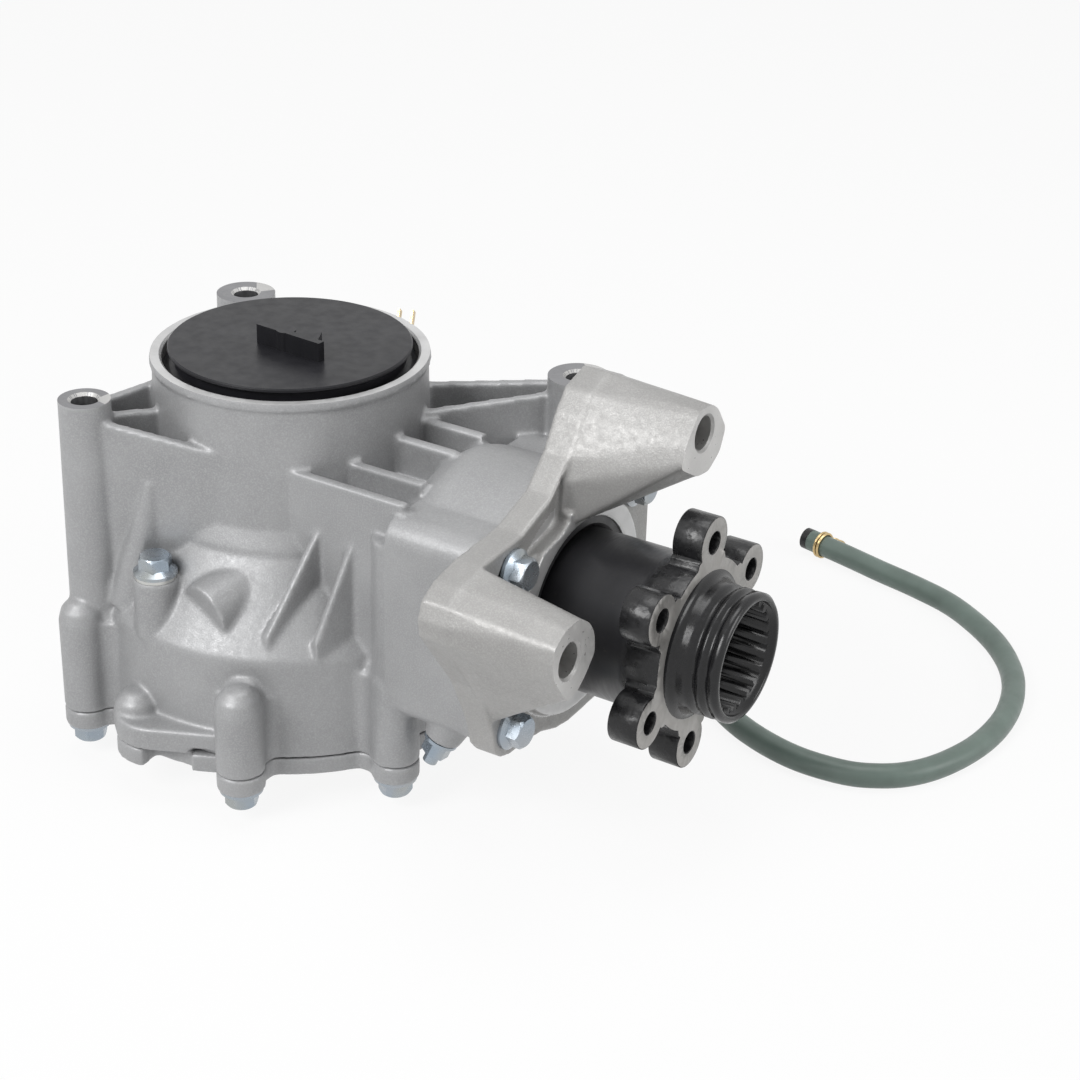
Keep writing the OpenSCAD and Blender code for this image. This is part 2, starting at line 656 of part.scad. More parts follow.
module drain_frame(r) rotate([0, 0, drain_a]) translate([r, 0, drain_z]) rotate([0, 90, 0]) children();
module drain_boss() drain_frame(cavity_r + 2) cylinder(r = 11, h = washer_seat_r - cavity_r - 2);
module drain_cut() {
    drain_frame(washer_seat_r) cylinder(r = 11, h = 10);
    drain_frame(cavity_r - 3) cylinder(r = drain_r, h = 20);
}

module side_cover() {
    color(cast_colour) difference() {
        union() {
            translate([0, 0, cover_z]) linear_extrude(cover_flange) joint_outline();
            rotate_extrude() polygon([[0, 0], [base_r - 1, 0], [base_r, 1], [base_r + 1.2, cover_z - 3],
                [base_r + 5, cover_z], [base_r + 5, joint_z], [carrier_out_r + 7, joint_z],
                    [carrier_out_r + 5.5, lower_race_z + carrier_w],
                [0, lower_race_z + carrier_w]]);
            for (i = [0 : 5]) rotate([0, 0, 30 + 60 * i]) translate([base_r - 1, -2.2, 4])
                rotate([90, 0, 0])
                translate([0, 0, -4.4]) linear_extrude(4.4)
                    polygon([[0, 4], [0, 12], [16, 12], [14, 10.5]]);
        }
        translate([0, 0, -1]) cylinder(r = mouth_r, h = mouth_depth + 1);
        translate([0, 0, lower_seal_z - 1]) cylinder(r = axle_seal_r, h = seal_w + 1);
        cylinder(r = axle_passage_r, h = joint_z);
        translate([0, 0, lower_race_z - shim_t]) cylinder(r = carrier_out_r, h = carrier_w + 5);
        // Shallow room between the flange and the bearing seat
        translate([0, 0, joint_z - 3]) difference() {
            cylinder(r = cavity_r - 3, h = 20);
            translate([0, 0, -1]) cylinder(r1 = carrier_out_r + 8, r2 = carrier_out_r + 5.5, h = 22);
        }
        translate([0, 0, joint_z]) o_ring_groove(o_ring_r, 1.6);
        at_cover_bolts() translate([0, 0, cover_z - 5])
            cylinder(r = bolt_r + bolt_gap, h = cover_flange + 10);
        // Recess under the ledge, where a lever goes in
        rotate([0, 0, lug_a]) translate([wall_r + 2.5, -11, cover_z - 1])
            cube([14, 18.5, cover_flange + 2]);
        at_dowels() translate([0, 0, joint_z - dowel_h / 2]) cylinder(r = dowel_r, h = dowel_h);
    }
}

module o_ring_groove(r, t) rotate_extrude() translate([r - t, -2 * t + 0.2]) square([2 * t, 2 * t]);

module o_ring(r, t) rotate_extrude() translate([r, 0]) circle(r = t, $fn = 24);

module cover_o_ring() color(black_colour) translate([0, 0, joint_z - 1.5]) o_ring(o_ring_r, 1.45);

module cover_bolts() {
    color(zinc_colour) at_cover_bolts() translate([0, 0, cover_z]) mirror([0, 0, 1])
        flange_bolt(cover_flange + 22);
}

module cover_dowels() {
    color(steel_colour) at_dowels() translate([0, 0, joint_z - dowel_h / 2])
        tube(dowel_r, bolt_r + bolt_gap, dowel_h);
}

module caliper_bracket() {
    color(bracket_colour) difference() {
        union() {
            along_x(face_x, 0, 0) linear_extrude(plate_t) polygon(plate_outline);
            along_x(face_x, 0, pinion_z) cylinder(r1 = nose_r + 1, r2 = nose_r, h = nose_x - face_x);
            along_x(face_x - 4, 0, pinion_z) cylinder(r = pinion_out_r - run_gap, h = 5);
            arm(upper_root, upper_tip);
            arm(lower_root, lower_tip);
        }
        along_x(face_x - 5, 0, pinion_z) cylinder(r = sleeve_r + 1.4, h = 40);
        along_x(nose_x - seal_w - 2, 0, pinion_z) cylinder(r = pinion_seal_r, h = seal_w + 30);
        along_x(face_x - 5, 0, pinion_z) cylinder(r = pinion_out_r - 5, h = 9);
        for (y = [-1, 1], z = [-1, 1])
            along_x(face_x - 1, y * bolt_half_y, pinion_z + z * bolt_half_z) {
            cylinder(r = bolt_r + bolt_gap, h = plate_t + 2);
            translate([0, 0, plate_t + 1]) cylinder(r = head_flange_r + 1.4, h = 30);
        }
        for (p = [caliper_up, caliper_low]) along_x(face_x + plate_t + 3, p[0], p[1])
            cylinder(r = caliper_hole_r, h = 60);
        bracket_pockets();
        along_x(face_x - 3, 0, pinion_z) rotate_extrude() translate([pinion_out_r - 2.4, 0])
            square([3, 2.4]);
    }
}

// Tapered arm from its outline on the plate to its tip
module arm(root, tip) {
    hull() {
        along_x(face_x + plate_t - 1.3, 0, 0) linear_extrude(1) polygon(root);
        along_x(caliper_x - 1, 0, 0) linear_extrude(1) polygon(tip);
    }
}

// Sunk faces round the bolts and the pocket between the arms
module bracket_pockets() {
    along_x(face_x + plate_t - 3, 0, 0) linear_extrude(20)
        polygon([[-52, 112], [-57, 122], [-50, 131], [-38, 132], [-20, 139], [-12, 146.5], [-9.5, 151],
            [-10.5, 131], [-15, 128], [-32, 124]]);
}

module bracket_bolts() {
    color(zinc_colour) for (y = [-1, 1], z = [-1, 1])
        along_x(face_x + plate_t, y * bolt_half_y, pinion_z + z * bolt_half_z)
            flange_bolt(plate_t + 20);
}

module bracket_o_ring() color(black_colour) along_x(face_x - 1.8, 0, pinion_z)
    o_ring(pinion_out_r - 1.2, 1.1);

// Lip seal: a steel-cored ring with its lip on the bore side
module lip_seal(r_out, r_lip, w) {
    difference() {
        cylinder(r = r_out, h = w);
        translate([0, 0, -1]) cylinder(r = r_lip, h = w + 2);
        translate([0, 0, -1]) tube(r_out - 1.5, r_lip + 1.5, w - 1.5);
        translate([0, 0, w - 1]) cylinder(r1 = r_lip, r2 = r_lip + 1.6, h = 1.01);
    }
}

module pinion_oil_seal() {
    color(black_colour) along_x(nose_x - seal_w - 1, 0, pinion_z)
        lip_seal(pinion_seal_r, sleeve_r + run_gap, seal_w);
}
module upper_axle_seal() color(black_colour) translate([0, 0, upper_seal_z])
    lip_seal(axle_seal_r, axle_lip_r, seal_w);
module lower_axle_seal() {
    color(black_colour) translate([0, 0, lower_seal_z + seal_w]) mirror([0, 0, 1])
        lip_seal(axle_seal_r, axle_lip_r, seal_w);
}

// Ball bearing pieces. Each is drawn standing on zero, with its width along +Z.
function ball_r(r_in, r_out) = (r_out - r_in) * 0.3;
function pitch_r(r_in, r_out) = (r_out + r_in) / 2;

module outer_race(r_in, r_out, w) {
    difference() {
        tube(r_out, pitch_r(r_in, r_out) + (r_out - r_in) * 0.17, w);
        translate([0, 0, w / 2]) rotate_extrude() translate([pitch_r(r_in, r_out), 0])
            circle(r = ball_r(r_in, r_out));
    }
}

module inner_race(r_in, r_out, w) {
    difference() {
        tube(pitch_r(r_in, r_out) - (r_out - r_in) * 0.17, r_in, w);
        translate([0, 0, w / 2]) rotate_extrude() translate([pitch_r(r_in, r_out), 0])
            circle(r = ball_r(r_in, r_out));
    }
}

module bearing_balls(r_in, r_out, w, n) {
    for (i = [0 : n - 1]) rotate([0, 0, 360 / n * i]) translate([pitch_r(r_in, r_out), 0, w / 2])
        sphere(r = ball_r(r_in, r_out) - ball_gap);
}

// Machined cage: a band between the races with one pocket for each ball
module bearing_cage(r_in, r_out, w, n) {
    half = (r_out - r_in) * 0.17 - race_gap;
    difference() {
        translate([0, 0, w / 2 - ball_r(r_in, r_out) - 1.4])
            tube(pitch_r(r_in, r_out) + half, pitch_r(r_in, r_out) - half,
                2 * ball_r(r_in, r_out) + 2.8);
        for (i = [0 : n - 1]) rotate([0, 0, 360 / n * i])
            translate([pitch_r(r_in, r_out) - half - 2, 0, w / 2])
            rotate([0, 90, 0]) cylinder(r = ball_r(r_in, r_out) + 0.05, h = 2 * half + 4);
    }
}

module upper_outer_race() color(steel_colour) translate([0, 0, upper_race_z])
    outer_race(carrier_bore_r, carrier_out_r, carrier_w);
module lower_outer_race() color(steel_colour) translate([0, 0, lower_race_z])
    outer_race(carrier_bore_r, carrier_out_r, carrier_w);
module upper_inner_race() color(steel_colour) translate([0, 0, upper_race_z])
    inner_race(carrier_bore_r, carrier_out_r, carrier_w);
module lower_inner_race() color(steel_colour) translate([0, 0, lower_race_z])
    inner_race(carrier_bore_r, carrier_out_r, carrier_w);
module upper_bearing_cage() {
    color(brass_colour) translate([0, 0, upper_race_z])
        bearing_cage(carrier_bore_r, carrier_out_r, carrier_w, carrier_balls);
}
module lower_bearing_cage() {
    color(brass_colour) translate([0, 0, lower_race_z])
        bearing_cage(carrier_bore_r, carrier_out_r, carrier_w, carrier_balls);
}
module upper_bearing_balls() {
    color(steel_colour) translate([0, 0, upper_race_z])
        bearing_balls(carrier_bore_r, carrier_out_r, carrier_w, carrier_balls);
}
module lower_bearing_balls() {
    color(steel_colour) translate([0, 0, lower_race_z])
        bearing_balls(carrier_bore_r, carrier_out_r, carrier_w, carrier_balls);
}

module at_inner_race() along_x(inner_race_x, 0, pinion_z) children();
module at_outer_race() along_x(outer_race_x, 0, pinion_z) children();
module inner_pinion_outer_race() color(steel_colour) at_inner_race()
    outer_race(pinion_bore_r, pinion_out_r, pinion_w);
module outer_pinion_outer_race() color(steel_colour) at_outer_race()
    outer_race(pinion_bore_r, pinion_out_r, pinion_w);
module inner_pinion_inner_race() color(steel_colour) at_inner_race()
    inner_race(pinion_bore_r, pinion_out_r, pinion_w);
module outer_pinion_inner_race() color(steel_colour) at_outer_race()
    inner_race(pinion_bore_r, pinion_out_r, pinion_w);
module inner_pinion_cage() color(brass_colour) at_inner_race()
    bearing_cage(pinion_bore_r, pinion_out_r, pinion_w, pinion_balls);
module outer_pinion_cage() color(brass_colour) at_outer_race()
    bearing_cage(pinion_bore_r, pinion_out_r, pinion_w, pinion_balls);
module inner_pinion_balls() color(steel_colour) at_inner_race()
    bearing_balls(pinion_bore_r, pinion_out_r, pinion_w, pinion_balls);
module outer_pinion_balls() color(steel_colour) at_outer_race()
    bearing_balls(pinion_bore_r, pinion_out_r, pinion_w, pinion_balls);

module carrier_shim() {
    color(steel_colour) translate([0, 0, lower_race_z - shim_t])
        tube(carrier_out_r, carrier_out_r - 5, shim_t);
}
module pinion_race_spacer() {
    gap = outer_race_x - inner_race_x - pinion_w;
    color(steel_colour) along_x(inner_race_x + pinion_w, 0, pinion_z)
        tube(pinion_out_r, pinion_out_r - 4, gap);
}
module pinion_inner_spacer() {
    gap = outer_race_x - inner_race_x - pinion_w;
    color(steel_colour) along_x(inner_race_x + pinion_w, 0, pinion_z)
        tube(pinion_bore_r + 4, pinion_bore_r, gap);
}

module level_bolt_washer() {
    color(brass_colour) translate([level_bolt_p[0], level_bolt_p[1], level_bolt_z])
        tube(8.4, bolt_r, washer_t);
}
module level_bolt() {
    color(zinc_colour) translate([level_bolt_p[0], level_bolt_p[1], level_bolt_z + washer_t])
        flange_bolt(16);
}

module drain_bolt_washer() color(brass_colour) drain_frame(washer_seat_r) tube(9.4, drain_r, washer_t);
module drain_bolt() {
    color(zinc_colour) drain_frame(washer_seat_r + washer_t) flange_bolt(9, drain_r, 9.6, 14, 9);
}

module stop_stud() color(zinc_colour) stud_frame() translate([0, 0, -6]) cylinder(r = stud_r, h = 22);
module stop_stud_nut() {
    color(zinc_colour) stud_frame() translate([0, 0, 4]) difference() {
        union() {
            cylinder(r = 7, h = 1.4);
            cylinder(r = 10 / sqrt(3), h = 7.5, $fn = 6);
        }
        translate([0, 0, -1]) cylinder(r = stud_r, h = 12);
    }
}

module breather_nipple() {
    color(zinc_colour) nipple_frame() difference() {
        union() {
            cylinder(r = nipple_r, h = nipple_collar);
            translate([0, 0, nipple_collar - 0.1]) cylinder(r = 5, h = 2.6);
            translate([0, 0, hose_start - 0.5]) cylinder(r = hose_bore / 2, h = 14);
        }
        translate([0, 0, 1]) cylinder(r = 1.6, h = 40);
    }
}

// Spring band clamp with two upright tabs
module hose_clamp() {
    color(brass_colour) nipple_frame() translate([0, 0, hose_start + 3]) {
        tube(hose_d / 2 + 1, hose_d / 2, 6);
        for (s = [-1, 1]) translate([-hose_d / 2 - 13, s * 3 - 0.5, 0]) cube([13.35, 1, 5]);
    }
}

// Hose route, a list of points on its centre line from the nipple to the plug
hose_route = [[4, 70.1, 142.9], [1.6, 76.1, 138.4], [-2.1, 85.2, 131.2], [-6.2, 95, 121.5],
    [-9.9, 103.5, 108.5], [-12.4, 109.5, 93], [-13.2, 113.5, 76], [-12.3, 117, 58], [-9, 121, 40.5],
    [-3, 128, 24.5], [6, 139.5, 12.8], [16.8, 153, 6.8], [29.5, 166, 5.3], [45, 174.5, 5.3],
    [62, 178, 5.3], [79, 176, 5.3], [95, 168.5, 5.3], [109.5, 157, 5.3], [122.5, 142, 5.3],
    [134, 125, 5.3], [144, 108.5, 5.3], [155.5, 94, 5.3], [170.5, 83.3, 5.3], [189.1, 75.4, 5.3],
    [207.4, 71.7, 5.3], [225.4, 72.8, 5.3], [237.1, 77, 5.3], [248.9, 86, 5.3], [258.2, 100.7, 5.3],
    [264.8, 122.3, 5.3], [266.4, 145.9, 5.3], [262.7, 168.8, 5.3], [254.4, 189.4, 5.3],
    [241.2, 207.7, 5.3], [225.5, 221.9, 5.3], [205, 234.8, 5.3], [183.8, 242, 5.3],
    [163.4, 246.6, 5.5], [145.4, 250.7, 6], [130.6, 253.4, 6.6], [122.3, 255.2, 6.8]];

// Point on the smooth curve through the route, i the stretch and t the share of it
function spline_point(p, i, t) =
    let (n = len(p) - 1, a = p[max(i - 1, 0)], b = p[i], c = p[min(i + 1, n)], d = p[min(i + 2, n)])
    0.5 * (2 * b + (c - a) * t + (2 * a - 5 * b + 4 * c - d) * t ^ 2 + (3 * b - a - 3 * c + d) * t ^ 3);

// Closed tube with n sides swept along points q, its ends flat
module swept_tube(q, r, n) {
    last = len(q) - 1;
    dirs = [for (i = [0 : last]) unit(q[min(i + 1, last)] - q[max(i - 1, 0)])];
    pts = [for (i = [0 : last]) let (d = dirs[i], s = unit(cross(d,
        abs(d[2]) > 0.9 ? [0, 1, 0] : [0, 0, 1])), u = cross(s, d))
        for (j = [0 : n - 1]) q[i] + r * (cos(360 / n * (j + 0.5)) * s + sin(360 / n * (j + 0.5)) * u)];
    polyhedron(pts, concat(
        [[for (j = [n - 1 : -1 : 0]) j]],
        [for (i = [0 : last - 1], j = [0 : n - 1])
            [i * n + j, i * n + (j + 1) % n, (i + 1) * n + (j + 1) % n, (i + 1) * n + j]],
        [[for (j = [0 : n - 1]) last * n + j]]));
}
function unit(v) = v / norm(v);

module breather_hose() {
    steps = 2;
    n = len(hose_route) - 1;
    q = concat([for (i = [0 : n - 1], t = [0 : steps - 1]) spline_point(hose_route, i, t / steps)],
        [hose_route[n]]);
    color(hose_colour) swept_tube(q, hose_d / 2, 8);
}

hose_end = hose_route[len(hose_route) - 1];
hose_end_dir = unit(hose_end - hose_route[len(hose_route) - 2]);
module hose_end_frame() translate(hose_end) rotate([0, 0, atan2(hose_end_dir[1], hose_end_dir[0])])
    rotate([0, 90, 0]) children();

module hose_end_plug() color(black_colour) hose_end_frame() cylinder(r = hose_d / 2, h = 3.5);

// Wire clip round the hose end with two finger loops
module hose_end_clip() {
    wire = 0.7;
    color(brass_colour) hose_end_frame() translate([0, 0, -8]) {
        for (z = [0, 1.8]) translate([0, 0, z]) o_ring(hose_d / 2 + wire, wire);
        for (s = [0, 1]) translate([2, -hose_d / 2 - 4.5, s * 3 - 1]) rotate([0, 90, 0])
            o_ring(3, wire);
    }
}

// Spherical involute: how far a flank turns between its base cone and the cone angle d
function involute(d, base) =
    d <= base ? 0 : acos(cos(d) / cos(base)) / sin(base) - acos(tan(base) / tan(d));

// One loop round a bevel gear at distance rho from its apex, n steps up each flank
function bevel_loop(teeth, cone, root, tip, rho, twist, n) =
    let (base = asin(sin(cone) * cos(pressure)),
        half_p = 90 / teeth - deg_of(flank_gap / 2, rho * sin(cone)),
        ds = [for (k = [0 : n]) root + (tip - root) * k / n],
        hs = [for (d = ds) half_p + involute(cone, base) - involute(d, base)])
    [for (i = [0 : teeth - 1], k = [0 : 2 * n + 1])
        let (j = k <= n ? k : 2 * n + 1 - k,
            a = 360 / teeth * i + twist + (k <= n ? -1 : 1) * hs[j])
        [rho * sin(ds[j]) * cos(a), rho * sin(ds[j]) * sin(a), rho * cos(ds[j])]];

// Plain loop with as many points as a gear loop
function round_loop(count, r, z, twist) = [for (i = [0 : count - 1])
    let (a = 360 / count * (i + 0.5) + twist) [r * cos(a), r * sin(a), z]];

// Closed ring-shaped solid through loops of equal length, the last joined to the first
module loop_ring(loops) {
    n = len(loops[0]);
    m = len(loops);
    polyhedron([for (l = loops) each l], [for (i = [0 : m - 1], j = [0 : n - 1])
        [i * n + j, i * n + (j + 1) % n, ((i + 1) % m) * n + (j + 1) % n, ((i + 1) % m) * n + j]]);
}

// Turn of a spiral tooth at distance rho from the apex, none at the middle of the face
function spiral_turn(rho, cone) =
    tan(spiral) * ln(rho / (cone_len - face_w / 2)) / sin(cone) * 180 / PI;
function section_rho(k) = cone_len - face_w * k / spiral_steps;

module ring_gear() {
    n = 2;
    count = ring_teeth * (2 * n + 2);
    half_pitch = 180 / ring_teeth;
    root = ring_cone - deg_of(pinion_addendum + tooth_foot_gap, cone_len);
    tip = ring_cone + deg_of(ring_addendum, cone_len);
    depth = pinion_z - ring_back_z;
    mesh = concat(
        [for (k = [0 : spiral_steps]) bevel_loop(ring_teeth, ring_cone, root, tip, section_rho(k),
            spiral_turn(section_rho(k), ring_cone), n)],
        [round_loop(count, ring_bore_r - 2, depth - 17,
            spiral_turn(cone_len_in, ring_cone) - half_pitch),
         round_loop(count, ring_bore_r - 2, depth, -half_pitch),
         round_loop(count, ring_blank_r - 2.5, depth, -half_pitch),
         round_loop(count, ring_blank_r - 0.8, depth - 5,
             spiral_turn(cone_len, ring_cone) - half_pitch)]);
    color(steel_colour) translate([0, 0, pinion_z]) difference() {
        mirror([0, 0, 1]) loop_ring(mesh);
        translate([0, 0, -depth - 1]) cylinder(r = ring_bore_r, h = 40);
        for (i = [0 : ring_bolt_count - 1]) rotate([0, 0, 360 / ring_bolt_count * i])
            translate([ring_bolt_pcr, 0, -depth - 1]) cylinder(r = ring_bolt_r, h = 10);
    }
}

module pinion_gear() {
    n = 3;
    count = pinion_teeth * (2 * n + 2);
    root = pinion_cone - deg_of(ring_addendum + tooth_foot_gap, cone_len);
    tip = pinion_cone + deg_of(pinion_addendum, cone_len);
    back_x = pinion_seat_x - 3.5;
    half_pitch = 180 / pinion_teeth;
    mesh = concat(
        [for (k = [0 : spiral_steps]) bevel_loop(pinion_teeth, pinion_cone, root, tip, section_rho(k),
            spiral_turn(section_rho(k), pinion_cone), n)],
        [round_loop(count, 6, cone_len_in * cos(pinion_cone),
            spiral_turn(cone_len_in, pinion_cone) - half_pitch),
         round_loop(count, 6, back_x, -half_pitch),
         round_loop(count, pinion_bore_r + 2.5, back_x,
             spiral_turn(cone_len, pinion_cone) - half_pitch)]);
    color(steel_colour) along_x(0, 0, pinion_z) {
        // A space of the pinion faces a tooth of the ring gear
        rotate([0, 0, -90 + half_pitch]) loop_ring(mesh);
        translate([0, 0, cone_len_in * cos(pinion_cone) - 1.5]) cylinder(r = 9, h = 27);
        translate([0, 0, back_x - 1]) cylinder(r = pinion_bore_r + 4, h = pinion_seat_x - back_x + 1);
        translate([0, 0, pinion_seat_x - 5])
            cylinder(r = pinion_bore_r, h = flange_start_x - pinion_seat_x + 5);
        translate([0, 0, flange_start_x - 1]) linear_extrude(25)
            spline_outline(joint_major_r - 1.3, joint_major_r, joint_splines, 0);
        translate([0, 0, flange_start_x + 20]) cylinder(r = thread_r, h = 21);
        translate([0, 0, flange_start_x + 40.9]) cylinder(r1 = thread_r, r2 = thread_r - 1.5, h = 1.5);
    }
}

// Outline of a splined shaft: a core with straight-sided teeth, grown by gap
module spline_outline(minor, major, n, gap) {
    w = PI * (minor + major) / 2 / n;
    circle(r = minor + gap);
    for (i = [0 : n - 1]) rotate(360 / n * i)
        polygon([[minor - 1, -w * 0.62 - gap], [major + gap, -w * 0.36 - gap],
            [major + gap, w * 0.36 + gap], [minor - 1, w * 0.62 + gap]]);
}

module ear_outline() {
    valley_d = disc_pcr + 2.5;
    half = 180 / disc_bolts;
    valley_r = norm([disc_pcr * sin(half), valley_d - disc_pcr * cos(half)]) - ear_r;
    difference() {
        union() {
            circle(r = disc_pcr, $fn = disc_bolts);
            for (i = [0 : disc_bolts - 1]) rotate(360 / disc_bolts * i) translate([disc_pcr, 0])
                circle(r = ear_r);
        }
        for (i = [0 : disc_bolts - 1]) rotate(360 / disc_bolts * (i + 0.5)) translate([valley_d, 0])
            circle(r = valley_r);
    }
}

module pinion_flange() {
    web_x = flange_start_x + 25;
    recess_x = web_x + 20;
    color(forged_colour) along_x(0, 0, pinion_z) difference() {
        union() {
            // Sleeve, swelling into the flange, then the grooved hub
            rotate_extrude() polygon(concat(
                [[0, flange_start_x], [pinion_bore_r + 7, flange_start_x],
                    [pinion_bore_r + 7, flange_start_x + 3],
                    [sleeve_r, flange_start_x + 6], [sleeve_r, flange_x - flange_t - 6],
                    [sleeve_r + 3, flange_x - flange_t], [sleeve_r + 3, flange_x]],
                [[hub_r + 4, flange_x]], arc([hub_r + 4, flange_x + 3.5], 3.5, -90, -180, 4),
                [[hub_r, hub_end_x - 12.5], [hub_r - 1.2, hub_end_x - 12],
                    [hub_r - 1.2, hub_end_x - 9.5], [hub_r, hub_end_x - 9],
                    [hub_r, hub_end_x - 7], [hub_r - 1.2, hub_end_x - 6.5],
                        [hub_r - 1.2, hub_end_x - 4.5], [hub_r, hub_end_x - 4],
                    [hub_r, hub_end_x - 1.2], [hub_r - 1.2, hub_end_x], [0, hub_end_x]]));
            translate([0, 0, flange_x - flange_t]) linear_extrude(flange_t) rotate(ear_phase)
                ear_outline();
        }
        for (i = [0 : disc_bolts - 1]) rotate([0, 0, ear_phase + 360 / disc_bolts * i])
            translate([disc_pcr, 0, flange_x - flange_t - 1])
                cylinder(r = disc_hole_r, h = flange_t + 2);
        translate([0, 0, flange_start_x - 1]) linear_extrude(web_x - flange_start_x + 2)
            spline_outline(joint_major_r - 1.3, joint_major_r, joint_splines, 0.05);
        translate([0, 0, web_x]) cylinder(r = prop_minor_r, h = 60);
        translate([0, 0, recess_x - 4]) cylinder(r = prop_pilot_r, h = 4);
        translate([0, 0, recess_x - 0.5]) linear_extrude(80)
            spline_outline(prop_minor_r, prop_minor_r + prop_tooth, prop_splines, 0);
        translate([0, 0, hub_end_x - prop_pilot_t]) cylinder(r = prop_pilot_r, h = prop_pilot_t + 1);
        translate([0, 0, hub_end_x - 0.6]) cylinder(r1 = prop_pilot_r, r2 = prop_pilot_r + 0.6, h = 0.61);
    }
}

module pinion_nut_washer() color(steel_colour) along_x(flange_start_x + 25, 0, pinion_z)
    tube(17.5, thread_r, 3);
module pinion_nut() {
    color(steel_colour) along_x(flange_start_x + 28, 0, pinion_z) difference() {
        union() {
            cylinder(r = 16.5, h = 2);
            cylinder(r = 28 / sqrt(3), h = 11, $fn = 6);
        }
        translate([0, 0, -1]) cylinder(r = thread_r, h = 20);
    }
}

// Room inside the differential case, shared by both halves
module diff_room() {
    translate([0, 0, diff_z]) {
        sphere(r = diff_cavity_r);
        for (s = [0, 1]) mirror([0, 0, s]) {
            cylinder(r = side_back_r + 1, h = side_back_z + 1.3);
            cylinder(r = side_hub_r + run_gap, h = 47);
        }
        rotate([90, 0, 0]) translate([0, 0, -cross_half]) cylinder(r = cross_pin_r, h = 2 * cross_half);
    }
}

module diff_case_lower() {
    flange_r = ring_bolt_pcr + 8;
    color(forged_colour) difference() {
        union() {
            rotate_extrude() polygon([[0, diff_hub_z], [carrier_bore_r - 1, diff_hub_z],
                [carrier_bore_r, diff_hub_z + 1],
                [carrier_bore_r, lower_race_z + carrier_w],
                    [carrier_bore_r + 5, lower_race_z + carrier_w],
                [carrier_bore_r + 8, lower_race_z + carrier_w + 3],
                    [diff_r, lower_race_z + carrier_w + 8],
                [flange_r - 2, ring_back_z - 8], [flange_r, ring_back_z - 6], [flange_r, ring_back_z],
                [ring_bore_r, ring_back_z], [ring_bore_r, ring_back_z + 9], [diff_r, ring_back_z + 10],
                    [diff_r, diff_z], [0, diff_z]]);
        }
        diff_room();
        translate([0, 0, 5]) cylinder(r = side_hub_r - 2, h = 40);
        for (i = [0 : ring_bolt_count - 1]) rotate([0, 0, 360 / ring_bolt_count * i])
            translate([ring_bolt_pcr, 0, ring_back_z - 20]) {
            cylinder(r = ring_bolt_r + 0.3, h = 30);
            cylinder(r = 9.2, h = 12.5);
        }
        split_screw_holes();
    }
}

module split_screw_holes() {
    for (i = [0 : split_screws - 1]) rotate([0, 0, 360 / split_screws * i])
        translate([split_screw_pcr, 0, diff_z - 12]) cylinder(r = split_screw_r, h = 60);
}

module diff_case_upper() {
    shoulder = diff_top_z - 8;
    color(forged_colour) difference() {
        rotate_extrude() polygon([[0, diff_z], [diff_r, diff_z], [diff_r, shoulder - 1.5],
            [diff_r - 1.5, shoulder], [carrier_bore_r + 5, shoulder],
            [carrier_bore_r + 5, diff_top_z], [carrier_bore_r, diff_top_z],
                [carrier_bore_r, diff_top_z + carrier_w - 1],
            [carrier_bore_r - 1, diff_top_z + carrier_w], [0, diff_top_z + carrier_w]]);
        diff_room();
        translate([0, 0, diff_z + 30]) cylinder(r = side_hub_r - 2, h = 60);
        split_screw_holes();
    }
}

module ring_gear_bolts() {
    color(zinc_colour) for (i = [0 : ring_bolt_count - 1]) rotate([0, 0, 360 / ring_bolt_count * i])
        translate([ring_bolt_pcr, 0, ring_back_z - 7.5]) mirror([0, 0, 1])
            flange_bolt(16, ring_bolt_r, 8.6, 13, 8);
}

module diff_case_screws() {
    color(steel_colour) for (i = [0 : split_screws - 1]) rotate([0, 0, 360 / split_screws * i])
        translate([split_screw_pcr, 0, diff_top_z - 8]) difference() {
            union() {
                translate([0, 0, -diff_top_z + 8 + diff_z - 11])
                    cylinder(r = split_screw_r, h = diff_top_z - diff_z + 4);
                cylinder(r = 4.6, h = 6);
            }
            translate([0, 0, 2.5]) cylinder(r = 5 / sqrt(3), h = 5, $fn = 6);
        }
}

module cross_pin() {
    color(steel_colour) translate([0, 0, diff_z]) rotate([90, 0, 0]) translate([0, 0, -cross_half])
        cylinder(r = cross_pin_r, h = 2 * cross_half);
}

module side_gear() {
    n = 3;
    count = side_teeth * (2 * n + 2);
    half_pitch = 180 / side_teeth;
    root = side_cone - deg_of(diff_dedendum, diff_cone_len);
    tip = side_cone + deg_of(diff_addendum, diff_cone_len);
    rho_in = diff_cone_len - diff_face_w;
    difference() {
        union() {
            rotate([0, 0, 90]) loop_ring([
                bevel_loop(side_teeth, side_cone, root, tip, diff_cone_len, 0, n),
                bevel_loop(side_teeth, side_cone, root, tip, rho_in, 0, n),
                round_loop(count, axle_major_r - 3, rho_in * cos(root), -half_pitch),
                round_loop(count, axle_major_r - 3, side_back_z, -half_pitch),
                round_loop(count, side_back_r, side_back_z, -half_pitch),
                round_loop(count, side_back_r, side_back_z - 4, -half_pitch)]);
            translate([0, 0, side_back_z - 2]) cylinder(r = side_hub_r, h = side_hub_len + 2);
        }
        translate([0, 0, -1]) linear_extrude(60)
            spline_outline(axle_major_r - 1.2, axle_major_r, axle_splines, 0);
        translate([0, 0, side_back_z + side_hub_len - 8]) cylinder(r = axle_major_r + 0.5, h = 20);
    }
}

module upper_side_gear() color(steel_colour) translate([0, 0, diff_z]) side_gear();
module lower_side_gear() color(steel_colour) translate([0, 0, diff_z]) mirror([0, 0, 1]) side_gear();

